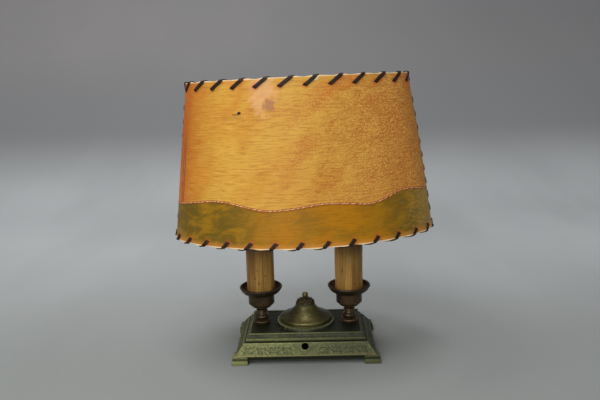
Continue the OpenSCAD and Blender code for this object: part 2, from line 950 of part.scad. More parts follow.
// Half of the parchment, from one seam of the oval to the other
module panel(from) {
    seam = 2 * asin(seam_gap / 4 / shade_end_r);
    turns = [from + seam,
             each [from + bearing_step : bearing_step : from + 180 - bearing_step],
             from + 180 - seam];
    section = [[0, low_z], [-shade_taper, top_z],
               [-shade_taper - parchment_t, top_z], [-parchment_t, low_z]];
    color("goldenrod")
        difference() {
            swept(turns, section, false);
            edge_slots(top_z, stitches_top, -1);
            edge_slots(low_z, stitches_bottom, 1);
            seam_slots(left);
            seam_slots(right);
        }
}

// Puts its children at a stitch: +X out of the shade, +Z up its side, on its outer face
module at_bearing(turn, z) {
    p = oval_point(turn, inset_at(z));
    in_shade()
        translate([p[0], p[1], z])
            rotate([0, 0, turn])
                rotate([0, -side_angle, 0])
                    children();
}

// One wrap of lace, as a flat loop round the frame's wire and the parchment.
// It reaches from low to high along the lace's own run.
module wrap(low, high) {
    outer = loop_out + lace_t;
    inner = loop_in + lace_t;
    difference() {
        translate([-inner, -lace_w / 2, low])
            cube([inner + outer, lace_w, high - low]);
        translate([-loop_in, -lace_w, low + lace_t])
            cube([loop_in + loop_out, 2 * lace_w, high - low - 2 * lace_t]);
    }
}

// Slot that the lace passes through, at a height along the lace's own run
module slot(z) {
    translate([-parchment_t - 2, -lace_w / 2 - slot_gap, z - slot_gap])
        cube([parchment_t + 4, lace_w + 2 * slot_gap, lace_t + 2 * slot_gap]);
}

// Places of the stitches round an edge
module edge_places(z, count) {
    for (i = [0 : count - 1])
        at_bearing(bearing((i + 0.5) / count, inset_at(z)), z)
            rotate([-stitch_lean, 0, 0])
                children();
}

// Stitches round an edge; way is -1 where they hang from the top edge, 1 below
module edge_lacing(z, count, way) {
    over = loop_over + lace_t + (loop_in + lace_t) * sin(side_angle);
    color("black")
        edge_places(z, count)
            wrap(way < 0 ? -stitch_depth : -over, way < 0 ? over : stitch_depth);
}

module edge_slots(z, count, way) {
    edge_places(z, count)
        slot(way < 0 ? -stitch_depth : stitch_depth - lace_t);
}

// Heights of the side seams' stitches, clear of the crossbar and of both rings
function seam_heights() =
    let (low = low_z + stitch_depth + 6, high = top_z - stitch_depth - 6)
    [for (i = [floor(low / seam_pitch) : ceil(high / seam_pitch)])
        let (z = (i + 0.5) * seam_pitch) if (z > low && z < high) z];

module seam_places(side) {
    for (z = seam_heights())
        at_bearing(side == right ? 0 : 180, z)
            rotate([90, 0, 0])
                children();
}

module seam_lacing(side) {
    color("black")
        seam_places(side)
            wrap(-seam_reach, seam_reach);
}

module seam_slots(side) {
    seam_places(side) {
        slot(-seam_reach);
        slot(seam_reach - lace_t);
    }
}

base_casting();
bottom_cover();
bottom_cover_screws();
cord_bushing();
dome_cover();
dome_crown();
ball_finial();
dome_rod();
dome_rod_nuts();
stem(left);  // left_stem
stem(right);  // right_stem
cup(left);  // left_cup
cup(right);  // right_cup
nipple(left);  // left_nipple
nipple(right);  // right_nipple
washers(left);  // left_washers
washers(right);  // right_washers
locknuts(left);  // left_locknuts
locknuts(right);  // right_locknuts
socket_bracket(left);  // left_socket_bracket
socket_bracket(right);  // right_socket_bracket
socket_body(left);  // left_socket_body
socket_body(right);  // right_socket_body
screw_shell(left);  // left_screw_shell
screw_shell(right);  // right_screw_shell
centre_contact(left);  // left_centre_contact
centre_contact(right);  // right_centre_contact
sleeve(left);  // left_sleeve
sleeve(right);  // right_sleeve
left_leads();
right_leads();
splice(left);  // line_splice
splice(right);  // neutral_splice
bulb_cap(left);  // left_bulb_cap
bulb_cap(right);  // right_bulb_cap
bulb_glass(left);  // left_bulb_glass
bulb_glass(right);  // right_bulb_glass
filament_mount(left);  // left_filament_mount
filament_mount(right);  // right_filament_mount
bulb_clip(left);  // left_bulb_clip
bulb_clip(right);  // right_bulb_clip
shade_crossbar();
ring(top_z - ring_drop);  // shade_top_ring
ring(low_z + ring_drop);  // shade_bottom_ring
rib(left);  // shade_left_rib
rib(right);  // shade_right_rib
panel(180);  // shade_front_panel
panel(0);  // shade_back_panel
edge_lacing(top_z, stitches_top, -1);  // top_lacing
edge_lacing(low_z, stitches_bottom, 1);  // bottom_lacing
seam_lacing(left);  // left_seam_lacing
seam_lacing(right);  // right_seam_lacing
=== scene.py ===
"""Looks of a two-light candle table lamp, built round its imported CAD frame.

Lengths in this script are millimetres until a mesh is made; MM turns them into metres.
"""

import json
import math

import bmesh
import bpy
import numpy as np
from mathutils import Matrix, Vector


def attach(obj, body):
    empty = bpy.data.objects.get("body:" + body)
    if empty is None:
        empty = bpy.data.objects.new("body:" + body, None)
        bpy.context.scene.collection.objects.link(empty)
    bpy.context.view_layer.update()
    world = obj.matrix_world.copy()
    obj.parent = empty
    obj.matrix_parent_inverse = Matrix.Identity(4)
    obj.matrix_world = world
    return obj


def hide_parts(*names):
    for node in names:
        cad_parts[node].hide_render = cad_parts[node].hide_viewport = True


MM = 0.001
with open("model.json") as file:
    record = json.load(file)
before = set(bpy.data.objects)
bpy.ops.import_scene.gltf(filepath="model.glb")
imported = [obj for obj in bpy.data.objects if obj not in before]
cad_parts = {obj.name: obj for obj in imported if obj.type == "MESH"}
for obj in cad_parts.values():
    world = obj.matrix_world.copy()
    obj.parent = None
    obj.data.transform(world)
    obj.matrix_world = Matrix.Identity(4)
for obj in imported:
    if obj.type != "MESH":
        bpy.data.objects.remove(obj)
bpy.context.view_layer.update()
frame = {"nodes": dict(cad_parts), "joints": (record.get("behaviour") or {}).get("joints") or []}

# ---------------- sizes

BASE_HALF = (82.5, 55.0)
PANEL_FOOT = (3.7, 8.5)
PANEL_HEAD = (13.4, 20.65)
PANEL_RUN, PANEL_RISE = PANEL_HEAD[0] - PANEL_FOOT[0], PANEL_HEAD[1] - PANEL_FOOT[1]
PANEL_SLOPE = math.hypot(PANEL_RUN, PANEL_RISE)
PLATE_Z = 28.9
SWITCH_X, SWITCH_R, SWITCH_DOWN = -0.8, 4.0, 4.4
CORD_X, CORD_R, CORD_DOWN = 0.8, 5.1, PANEL_SLOPE / 2
CANDLE_X = 51.0
SIDES = {"left": -1, "right": 1}

SHADE_W, SHADE_D, SHADE_END_R = 288.0, 213.0, 82.0
SHADE_H, SHADE_TAPER, SHADE_ABOVE = 167.0, 23.0, 45.3
SHADE_TILT = math.radians(2.1)
PARCHMENT_T = 1.0
WIRE_R = 1.6
LOW_Z, TOP_Z = SHADE_ABOVE - SHADE_H, SHADE_ABOVE
SIDE_ANGLE = math.atan2(SHADE_TAPER, SHADE_H)
WIRE_IN = (PARCHMENT_T + 0.3 + WIRE_R) / math.cos(SIDE_ANGLE)
TOP_STITCHES, BOTTOM_STITCHES = 26, 30

# The shade's own frame: its origin on the crossbar, between the clips
tilt_joint = next(j for j in frame["joints"] if j["name"] == "shade_tilt")
lean = math.atan2(tilt_joint["axis"][2], tilt_joint["axis"][0])
SHADE_FRAME = (
    Matrix.Translation(Vector(tilt_joint["pos_m"]))
    @ Matrix.Rotation(-lean, 4, "Y")
    @ Matrix.Rotation(-SHADE_TILT, 4, "X")
)


# ---------------- outlines


def curve(a, c, b, n):
    """Points of a smooth curve from a to b that heads for c at both ends."""
    a, c, b = (np.array(v, float) for v in (a, c, b))
    t = np.linspace(0, 1, n + 1)[:, None]
    return (1 - t) ** 2 * a + 2 * t * (1 - t) * c + t * t * b


def arc(mid, r, start, stop, n):
    """Points of an arc round mid, between two angles in degrees."""
    t = np.radians(np.linspace(start, stop, n + 1))[:, None]
    return np.array(mid, float) + r * np.hstack([np.cos(t), np.sin(t)])


def circle(r, n):
    """Points of a full circle about the origin."""
    t = np.linspace(0, 2 * math.pi, n, endpoint=False)
    return np.stack([r * np.cos(t), r * np.sin(t)], -1)


def joined(*parts):
    return np.vstack([np.atleast_2d(np.array(p, float)) for p in parts])


def softened(points, radius, steps=3):
    """The closed outline with each of its corners rounded off by up to radius."""
    points = np.array(points, float)
    out = []
    for i, here in enumerate(points):
        back, ahead = points[i - 1] - here, points[(i + 1) % len(points)] - here
        len_b, len_a = np.linalg.norm(back), np.linalg.norm(ahead)
        cut = min(radius, 0.45 * len_b, 0.45 * len_a)
        out.extend(curve(here + back / len_b * cut, here, here + ahead / len_a * cut, steps))
    return np.array(out)


# ---------------- meshes

WELD_M = 1e-7


def linked(name, data):
    """A new object in the scene."""
    obj = bpy.data.objects.new(name, data)
    bpy.context.scene.collection.objects.link(obj)
    return obj


def aimed(at, axis):
    """The placement at a point, in metres, that turns upwards into an axis."""
    return Matrix.Translation(at) @ Vector(axis).to_track_quat("Z", "Y").to_matrix().to_4x4()


def add_object(name, verts, faces, matrix=None, sharp=None):
    """A smooth mesh object from points in millimetres.

    sharp is the angle in degrees above which an edge stays crisp."""
    mesh = bpy.data.meshes.new(name)
    points = (np.asarray(verts, float) * MM).tolist()
    mesh.from_pydata(points, [], [list(map(int, f)) for f in faces])
    if matrix is not None:
        mesh.transform(matrix)
    tidy_mesh(mesh, sharp)
    return linked(name, mesh)


def tidy_mesh(mesh, sharp=None, weld=False):
    """Turns the faces outwards, optionally welds doubled points, and sets the shading."""
    clean = bmesh.new()
    clean.from_mesh(mesh)
    if weld:
        bmesh.ops.remove_doubles(clean, verts=clean.verts, dist=WELD_M)
    bmesh.ops.recalc_face_normals(clean, faces=clean.faces)
    clean.to_mesh(mesh)
    clean.free()
    mesh.polygons.foreach_set("use_smooth", [True] * len(mesh.polygons))
    if sharp:
        mesh.set_sharp_from_angle(angle=math.radians(sharp))


def set_attribute(obj, name, values):
    layer = obj.data.attributes.new(name, "FLOAT", "POINT")
    layer.data.foreach_set("value", np.asarray(values, np.float32))


def grid_faces(rows, columns, wrap_rows=False, wrap_columns=False, start=0):
    """Quads of a grid of points, stored row by row."""
    faces = []
    for i in range(rows if wrap_rows else rows - 1):
        for j in range(columns if wrap_columns else columns - 1):
            k, l = (i + 1) % rows, (j + 1) % columns
            faces.append([start + i * columns + j, start + i * columns + l,
                          start + k * columns + l, start + k * columns + j])
    return faces


def end_faces(n, last):
    """The two faces that close a run of rings of n points; last is where the last ring starts."""
    return [list(range(n))[::-1], list(range(last, last + n))]


def lathe(name, outline, centre=(0, 0, 0), steps=72, shape=None, sharp=40):
    """Turns an outline of radius and height about an upright line.

    shape(angle, r, z) may change the radius."""
    outline = np.array(outline, float)
    turn = np.linspace(0, 2 * math.pi, steps, endpoint=False)
    r = np.repeat(outline[:, :1], steps, axis=1)
    z = np.repeat(outline[:, 1:], steps, axis=1)
    a = np.repeat(turn[None, :], len(outline), axis=0)
    if shape:
        r = shape(a, r, z)
    x, y, z = centre[0] + r * np.cos(a), centre[1] + r * np.sin(a), centre[2] + z
    verts = np.stack([x, y, z], -1).reshape(-1, 3)
    obj = add_object(name, verts, grid_faces(len(outline), steps, wrap_columns=True))
    tidy_mesh(obj.data, sharp, weld=True)
    return obj


def sweep(path, normals, section, closed=False):
    """Verts and faces of a section swept along a path.

    The section's x runs across the path and its y along the normals."""
    path, normals = np.array(path, float), np.array(normals, float)
    ahead = np.roll(path, -1, axis=0) - np.roll(path, 1, axis=0)
    if not closed:
        ahead[0], ahead[-1] = path[1] - path[0], path[-1] - path[-2]
    ahead /= np.linalg.norm(ahead, axis=1)[:, None]
    normals = normals - (normals * ahead).sum(1)[:, None] * ahead
    normals /= np.linalg.norm(normals, axis=1)[:, None]
    across = np.cross(ahead, normals)
    section = np.array(section, float)
    verts = (path[:, None, :] + across[:, None, :] * section[None, :, :1]
             + normals[:, None, :] * section[None, :, 1:]).reshape(-1, 3)
    faces = grid_faces(len(path), len(section), wrap_rows=closed, wrap_columns=True)
    if not closed:
        faces += end_faces(len(section), (len(path) - 1) * len(section))
    return verts, faces


def merged(parts):
    """Joins lists of verts and faces into one."""
    verts, faces, count = [], [], 0
    for v, f in parts:
        verts.append(np.asarray(v, float))
        faces.extend([[i + count for i in face] for face in f])
        count += len(v)
    return np.vstack(verts), faces


def smooth_noise(x, y, scale, seed):
    """Cheap smooth noise in -1 to 1 from a few turned sines; the same on each run."""
    dice = np.random.default_rng(seed)
    total, weight = 0.0, 0.0
    for octave in (1, 2, 4):
        for _ in range(4):
            turn, phase = dice.uniform(0, math.pi), dice.uniform(0, 2 * math.pi)
            k = 2 * math.pi * octave / scale
            total = total + np.sin(k * (x * math.cos(turn) + y * math.sin(turn)) + phase) / octave
            weight += 1 / octave
    return total / weight * 2


# ---------------- the oval

HALF_W, HALF_D = SHADE_W / 2, SHADE_D / 2
SIDE_R = ((HALF_W - SHADE_END_R) ** 2 + HALF_D ** 2 - SHADE_END_R ** 2) / (2 * (HALF_D - SHADE_END_R))
END_MID, SIDE_MID = HALF_W - SHADE_END_R, SIDE_R - HALF_D
ARC_TURN = math.atan2(END_MID, SIDE_MID)


def inset_at(z):
    """How far the shade's side has drawn in at a height."""
    return SHADE_TAPER * (z - LOW_Z) / SHADE_H


def bearing(run, k=0.0):
    """Bearing at a distance round the oval drawn in by k, from its right end."""
    end_r, side_r, end_turn = SHADE_END_R - k, SIDE_R - k, math.pi / 2 - ARC_TURN
    end, side = end_r * end_turn, side_r * ARC_TURN
    half_round = 2 * (end + side)
    run = np.mod(run, 2 * half_round)
    half = np.mod(run, half_round)
    past = half - end
    turn = np.where(half < end, half / end_r, end_turn + past / side_r)
    turn = np.where(half < end + 2 * side, turn, math.pi - end_turn + (past - 2 * side) / end_r)
    return turn + math.pi * (run >= half_round)


def round_length(k=0.0):
    return 4 * ((SHADE_END_R - k) * (math.pi / 2 - ARC_TURN) + (SIDE_R - k) * ARC_TURN)


def oval_point(turn, k):
    """Point of the oval at a bearing, drawn in by k."""
    c, s = np.cos(turn), np.sin(turn)
    on_side = np.abs(c) < math.sin(ARC_TURN)
    r = np.where(on_side, SIDE_R, SHADE_END_R) - k
    mid_x = np.where(on_side, 0, np.sign(c) * END_MID)
    mid_y = np.where(on_side, -np.sign(s) * SIDE_MID, 0)
    return mid_x + r * c, mid_y + r * s


def on_shade(turn, z, out):
    """Point out from the shade's outer face at a bearing and height, in the shade's frame."""
    x, y = oval_point(turn, inset_at(z) - out * math.cos(SIDE_ANGLE))
    return np.stack([x, y, z + out * math.sin(SIDE_ANGLE)], -1)


# ---------------- materials


def srgb(r, g, b):
    """A colour given in 0 to 255 as it looks, for a socket."""
    c = [v / 255 for v in (r, g, b)]
    return tuple(v / 12.92 if v <= 0.04045 else ((v + 0.055) / 1.055) ** 2.4 for v in c) + (1.0,)


class Paint:
    """Builds the nodes of one material.

    A value is a socket, a number, a tone of three numbers from 0 to 255 as it looks, or a
    step of (socket, low, high) or (socket, low, high, to_low, to_high)."""

    def __init__(self, name):
        self.mat = bpy.data.materials.new(name)
        self.mat.use_nodes = True
        self.tree = self.mat.node_tree

    def put(self, socket, value):
        if isinstance(value, tuple):
            value = self.step(*value) if isinstance(value[0], bpy.types.NodeSocket) else srgb(*value)
        if isinstance(value, bpy.types.NodeSocket):
            self.tree.links.new(value, socket)
        elif value is not None:
            socket.default_value = value

    def node(self, kind, settings=None, *values, **inputs):
        """Outputs of a new node. Its inputs are given in their order or by their names."""
        made = self.tree.nodes.new("ShaderNode" + kind)
        for key, value in (settings or {}).items():
            setattr(made, key, value)
        for socket, value in zip(made.inputs, values):
            self.put(socket, value)
        for key, value in inputs.items():
            self.put(made.inputs[key.replace("_", " ")], value)
        return made.outputs

    def place(self, scale=(1, 1, 1), shift=(0, 0, 0)):
        """Object coordinates in millimetres, scaled."""
        return self.stretched(self.node("TexCoord")["Object"], [v / MM for v in scale], shift)

    def stretched(self, vector, scale, shift=(0, 0, 0)):
        return self.node("Mapping", Vector=vector, Scale=list(scale), Location=list(shift))["Vector"]

    def axes(self, vector):
        return tuple(self.node("SeparateXYZ", None, vector))

    def attributes(self, *names):
        return (self.node("Attribute", {"attribute_name": name})["Fac"] for name in names)

    def vector(self, x, y, z=0.0):
        return self.node("CombineXYZ", None, x, y, z)[0]

    def noise(self, vector, size, detail=3.0, rough=0.55, bend=0.0):
        """Noise from 0 to 1 whose lumps are about size across, in the vector's units."""
        return self.node("TexNoise", Vector=vector, Scale=1 / size, Detail=detail, Roughness=rough,
                         Distortion=bend)["Fac"]

    def maths(self, operation, *values):
        return self.node("Math", {"operation": operation}, *values)[0]

    def plus(self, a, b):
        return self.maths("ADD", a, b)

    def times(self, a, b):
        return self.maths("MULTIPLY", a, b)

    def off(self, a, b):
        """How far one value is from another."""
        return self.maths("ABSOLUTE", self.maths("SUBTRACT", a, b))

    def step(self, value, low, high, to_low=0.0, to_high=1.0):
        """Rises smoothly from to_low at low to to_high at high."""
        if low > high:
            low, high, to_low, to_high = high, low, to_high, to_low
        return self.node("MapRange", {"interpolation_type": "SMOOTHSTEP"}, Value=value, From_Min=low,
                         From_Max=high, To_Min=to_low, To_Max=to_high)["Result"]

    def mix(self, share, a, b, *rows):
        """Mixes two tones, then lays on one more for each row: a tone and shares, which multiply up."""
        between = [None] * 5
        colour = self.node("Mix", {"data_type": "RGBA"}, share, *between, a, b)[2]
        for tone, first, *others in rows:
            for more in others:
                first = self.times(first, more)
            colour = self.mix(first, colour, tone)
        return colour

    def bump(self, height, depth):
        """Bump whose height of 0 to 1 stands for depth, in millimetres."""
        return self.node("Bump", Height=height, Distance=depth * MM)["Normal"]

    def finish(self, colour, rough, normal, **constants):
        inputs = self.tree.nodes["Principled BSDF"].inputs
        constants.update(Base_Color=colour, Roughness=rough, Normal=normal)
        for key, value in constants.items():
            self.put(inputs[key.replace("_", " ")], value)
        return self.mat


def dress(obj, material, slot, body, *nodes):
    """Gives a piece its material and its body, and hides the CAD nodes that it stands for. slot is not
    used.
    """
    obj.data.materials.clear()
    obj.data.materials.append(material)
    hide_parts(*nodes)
    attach(obj, body)


def coat(material, *nodes):
    """Puts a material on CAD nodes that stay in view."""
    for node in nodes:
        obj = frame["nodes"][node]
        if not obj.data.materials:
            obj.data.materials.append(material)
        for place in obj.material_slots:
            place.link = "OBJECT"
            place.material = material


def both(kind):
    return [f"{side}_{kind}" for side in SIDES]


PAINTED_SHADE_TONE = (16, 21, 11)
BAND_SOFT = 0.4
BORDER_Y, BORDER_END_X = 27.6, (63.0, 61.0)


def brass_paint(name, high, low, dark, wear_and_highlight, grain, rough, metallic,
                panel=None, painted_shade_across=(), bands=(), seed=0.0):
    """Aged brass: high and low are its two tones, dark lies in the hollows, the wear tone lies on the
    edges.

    The dark is patina and partly painted shade; the wear tone is rubbed wear and partly painted highlights.
    panel is the tone of the carved panels, for a piece whose mesh carries the relief's attributes.
    The argument after panel lists (axis, from, to, amount) for painted shade that deepens across the piece,
    and bands lists (from, to, amount, tone) for stretches of its height painted in a tone of their own."""
    p = Paint(name)
    at = p.place(shift=(seed, seed, 0))
    broad, fine, pits = p.noise(at, 22, 3), p.noise(at, 3.2, 4, 0.65), p.noise(at, 0.9, 2)
    edge = p.node("NewGeometry")["Pointiness"]
    axes = p.axes(p.place())
    rows = [(dark, (fine, 0.45, 0.72), 0.6)]
    if panel:
        depth, flat, carved = p.attributes("relief", "plate", "panel")
        aside, ahead = (p.maths("ABSOLUTE", axis) for axis in axes[:2])
        border = p.times((p.off(ahead, BORDER_Y), 0.9, 0.3), (aside, *BORDER_END_X))
        rows += [
            # Panel tone; the end panels carry less of it than the front and back, painted shade on the
            # sides
            (panel, carved, (fine, 0.25, 0.6, 0.95, 0.5)),
            # Darker on the plate; on the cove under the rim and the strip below the panels this is painted
            # shade
            (dark, flat, (broad, 0.3, 0.7, 0.97, 0.85)),
            (high, border, flat, 0.4),
            # Darker in the cut lines and the strip below the panels, patina and partly painted shade;
            # brighter on the ribs, rubbed wear and partly painted highlights
            (dark, (depth, 0.44, 0.16), (fine, 0.3, 0.7, 0.85, 0.3)),
            (wear_and_highlight, (depth, 0.6, 0.95), (fine, 0.3, 0.66, 0.85, 0.2))]
    # By pointiness: edges get the wear tone, rubbed wear and partly painted highlights; creases get the
    # dark tone, patina and partly painted shade
    rows += [(wear_and_highlight, (edge, 0.515, 0.56), 0.8), (dark, (edge, 0.485, 0.44), 0.85)]
    # Painted shade: darker across the piece, towards where less light falls
    rows += [(PAINTED_SHADE_TONE, (axes[axis], begin, end, 0, amount)) for axis, begin, end, amount in painted_shade_across]
    # Bands of the height in a tone of their own, such as painted shade on the low strip of the casting
    for begin, end, amount, tone in bands:
        enters = (axes[2], begin - BAND_SOFT, begin + BAND_SOFT)
        rows.append((tone, enters, (axes[2], end + BAND_SOFT, end - BAND_SOFT, 0, amount)))
    normal = p.bump(p.plus(p.times(fine, 0.7), p.times(pits, 0.3)), grain)
    colour = p.mix((broad, 0.35, 0.68), low, high, *rows)
    return p.finish(colour, (fine, 0.3, 0.7, *rough), normal, Metallic=metallic)


# ---------------- camera, floor and light

FOCAL_PX, FRAME_PX, SENSOR_MM = 660.3, 600, 36
NEAR_M, FAR_M = 0.01, 20
CAMERA_AT = (-3.0, -731.1, 323.3)
CAMERA_PITCH, CAMERA_ROLL, CAMERA_YAW = (math.radians(v) for v in (11.53, 1.54, 1.13))
CLOTH_DROP, CLOTH_BEND_R = 0.05, 900


def make_camera():
    camera = linked("camera", bpy.data.cameras.new("camera"))
    camera.data.sensor_width = SENSOR_MM
    camera.data.lens = SENSOR_MM * FOCAL_PX / FRAME_PX
    camera.data.clip_start, camera.data.clip_end = NEAR_M, FAR_M
    ahead = Vector((0, math.cos(CAMERA_PITCH), -math.sin(CAMERA_PITCH)))
    right = Vector((1, 0, 0))
    up = right.cross(ahead)
    across = right * math.cos(CAMERA_ROLL) - up * math.sin(CAMERA_ROLL)
    upward = right * math.sin(CAMERA_ROLL) + up * math.cos(CAMERA_ROLL)
    axes = Matrix((across, upward, -ahead)).transposed()
    turn = Matrix.Rotation(CAMERA_YAW, 3, "Z")
    camera.matrix_world = Matrix.Translation(turn @ Vector(CAMERA_AT) * MM) @ (turn @ axes).to_4x4()
    bpy.context.scene.camera = camera


def make_stage():
    """A pale grey cloth that runs along the floor and curves up behind."""
    floor = [(y, 0) for y in range(-2600, 700, 300)]
    profile = joined(floor, arc((700, CLOTH_BEND_R), CLOTH_BEND_R, -90, 0, 24), [(1600, 3800)])
    xs = np.linspace(-3600, 3600, 25)
    verts = [(x, y, z - CLOTH_DROP) for y, z in profile for x in xs]
    cloth = add_object("backdrop", verts, grid_faces(len(profile), len(xs)))
    p = Paint("backdrop_cloth")
    at = p.place()
    across, back, up = p.axes(at)
    weave = p.noise(at, 2.5, 2)
    blotch = p.noise(p.place((1, 0.35, 1)), 260, 4)
    # Painted shade of the room's light: the grey is darker at the front of the floor, along the foot and
    # middle of the curve, and towards the right and higher up
    tone = p.mix(
        (back, -100, 480), (130, 133, 130), (169, 172, 173),
        ((121, 121, 122), (up, 0, 155)),
        ((131, 128, 128), (up, 190, 420)),
        ((98, 99, 101), (across, -500, 700), (up, 60, 500, 0.08, 0.6)),
        ((112, 114, 114), (blotch, 0.35, 0.65), 0.16),
        ((120, 122, 122), weave, 0.2))
    p.finish(tone, 0.95, p.bump(weave, 0.3), Specular_IOR_Level=0.15)
    cloth.data.materials.append(p.mat)


def make_light(name, at, aim, size, watts):
    """A rectangular lamp; places and sizes are in metres."""
    lamp = bpy.data.lights.new(name, "AREA")
    lamp.shape, lamp.size, lamp.size_y = "RECTANGLE", size[0], size[1]
    lamp.energy = watts
    linked(name, lamp).matrix_world = aimed(at, (Vector(at) - Vector(aim)).normalized())


def make_lights():
    make_light("overhead", (-0.4, -0.3, 1.9), (0, 0, 0.12), (1.4, 1.2), 31)
    make_light("front", (-0.55, -1.9, 1.05), (0, 0, 0.18), (1.5, 1.0), 24)
    make_light("backdrop_wash", (0.0, 0.55, 1.5), (0, 1.5, 0.3), (2.4, 0.5), 4)
    world = bpy.data.worlds.new("soft_room")
    bpy.context.scene.world = world
    world.use_nodes = True
    room = world.node_tree.nodes["Background"].inputs
    room["Color"].default_value = (0.62, 0.64, 0.66, 1)
    room["Strength"].default_value = 0.6
    bpy.context.scene.view_settings.view_transform = "Standard"


make_camera()
make_stage()
make_lights()


# ---------------- base

NORMAL_OUT, NORMAL_UP = PANEL_RISE / PANEL_SLOPE, PANEL_RUN / PANEL_SLOPE
PANEL_ROWS, COLUMN_STEP, PLATE_STEPS = 34, 0.5, 12
PANEL_MID = 7.0
RELIEF_H = 0.42
SWITCH_FLAT_R, CORD_FLAT_R = SWITCH_R + 1.2, 8.2


def stroke(points, width_start, width_end):
    """A raised line: points, half widths and heights along it."""
    points = np.array(points, float)
    t = np.linspace(0, 1, len(points))
    return points, width_start + (width_end - width_start) * t, np.ones(len(points))


def spiral(centre, r, start, turns):
    """Points that wind in towards a centre from a distance r to a quarter of it."""
    t = np.linspace(0, 1, 34)
    a = math.radians(start) + turns * 2 * math.pi * t
    d = r * (1 - 0.75 * t)
    return np.stack([centre[0] + d * np.cos(a), centre[1] + d * np.sin(a)], -1)


def leaf(root, angle, length, width):
    """A pointed leaf, widest before its middle."""
    t = np.linspace(0, 1, 14)
    reach = length * t
    points = np.stack([root[0] + reach * math.cos(angle), root[1] + reach * math.sin(angle)], -1)
    return points, width * np.sin(math.pi * t ** 0.75) + 0.12, np.full(len(t), 0.8)


def foliage(half_length, middle_gap):
    """Rolling stems with curls and leaves along a panel, mirrored about its middle."""
    strokes = []
    count = max(2, round((half_length - middle_gap) / 14))
    pitch = (half_length - middle_gap) / count
    wave = np.linspace(-0.5, 0.5, 24)
    for i in range(count):
        x = middle_gap + pitch * (i + 0.5)
        up = 1 if i % 2 else -1
        stem = np.stack([x + pitch * wave, PANEL_MID - up * 2.6 * np.cos(math.pi * wave)], -1)
        curl = spiral((x + 0.8, PANEL_MID + up * 0.9), 3.1, -90 * up + 20, 1.25 * up)
        strokes += [stroke(stem, 0.62, 0.5), stroke(curl, 0.6, 0.42)]
        for turn, length in ((140, 4.2), (95, 3.4), (42, 4.0)):
            root = (x - 1.5 + 3.2 * math.cos(math.radians(turn)), PANEL_MID + up * 1.8)
            strokes.append(leaf(root, math.radians(turn * up), length, 0.85))
        for along, down, turn in ((-0.38, 1.4, -62), (0.34, 1.6, -118)):
            root = (x + pitch * along, PANEL_MID - up * down)
            strokes.append(leaf(root, math.radians(turn * up), 3.4, 0.8))
    return strokes + [(np.stack([-p[:, 0], p[:, 1]], -1), w, h) for p, w, h in strokes]


def chevrons():
    """Three nested points that hang below the switch hole."""
    strokes = []
    for half_w, top, low in ((13.2, 11.6, 1.9), (10.4, 11.6, 4.0), (7.6, 11.6, 6.0)):
        line = np.linspace((half_w, top), (0, low), 26)
        strokes += [stroke(line, 0.42, 0.42), stroke(line * (-1, 1), 0.42, 0.42)]
    return strokes


def relief(x, s, strokes, half_foot, half_head):
    """Carving at points x along a panel and s up its slope.

    It is down to -1 in the cut lines and up to 1 on the ribs."""
    points, widths, heights = (np.concatenate(part) for part in zip(*strokes))
    flat = np.stack([x.ravel(), s.ravel()], -1)
    out = np.zeros(len(flat))
    batch = 4000
    for begin in range(0, len(flat), batch):
        part = flat[begin:begin + batch]
        d2 = ((part[:, None, :] - points[None]) ** 2).sum(-1)
        out[begin:begin + batch] = (heights * np.clip(1 - d2 / widths ** 2, 0, 1) ** 0.6).max(1)
    cut = out.reshape(x.shape)
    edge = half_foot + (half_head - half_foot) * s / PANEL_SLOPE - np.abs(x)
    ribs = ((edge - 1.3, 0.75), (s - 1.0, 0.6), (PANEL_SLOPE - s - 0.7, 0.5))
    rib = np.maximum.reduce([np.clip(1 - (off / half) ** 2, 0, 1) for off, half in ribs]) ** 0.6
    return rib - cut * (1 - rib)


# Rows of the casting's skin: the seat's run round circles about the dome, the others round the sides
ROD_R, RECESS_R, SEAT_R, SEAT_TOP, SEAT_FLOOR, ROOF_Z = 5.0, 28.9, 33.0, 32.5, 30.1, 25.9
seat_rows = [
    (ROD_R, ROOF_Z), (ROD_R, SEAT_FLOOR), (RECESS_R, SEAT_FLOOR), (RECESS_R, SEAT_TOP - 0.4),
    (RECESS_R + 0.5, SEAT_TOP), (SEAT_R - 1.9, SEAT_TOP), (SEAT_R - 1.1, SEAT_TOP - 0.5),
    (SEAT_R - 0.5, SEAT_TOP - 0.8), (SEAT_R, SEAT_TOP - 1.4), (SEAT_R + 0.1, PLATE_Z + 0.7),
    (SEAT_R + 0.5, PLATE_Z)]
outer_rows = joined(
    [(21.5, PLATE_Z), (21.3, PLATE_Z + 0.3), (21.1, 29.4), (20.7, 29.5), (19.4, 29.5), (19.0, 29.35)],
    [(18.9, 29.0), (18.9, 28.5), (19.2, 28.3), (19.5, 28.3)],
    curve((19.5, 28.3), (18.9, 25.7), (17.0, 24.3), 8),
    [(16.1, 24.3), (15.8, 24.1), (15.75, 23.6), (15.75, 21.9)],
    [(16.1, 21.75), (16.2, 21.6), (16.2, 20.9), (15.9, 20.65), (13.6, 20.65)],
)
foot_rows = [
    (3.7, 8.2), (3.7, 7.7), (3.7, 5.1), (3.7, 4.6), (3.9, 4.4), (6.5, 4.4), (6.7, 4.6), (6.7, 8.5),
    (16.4, 20.65), (19.0, 24.3), (21.9, ROOF_Z)]


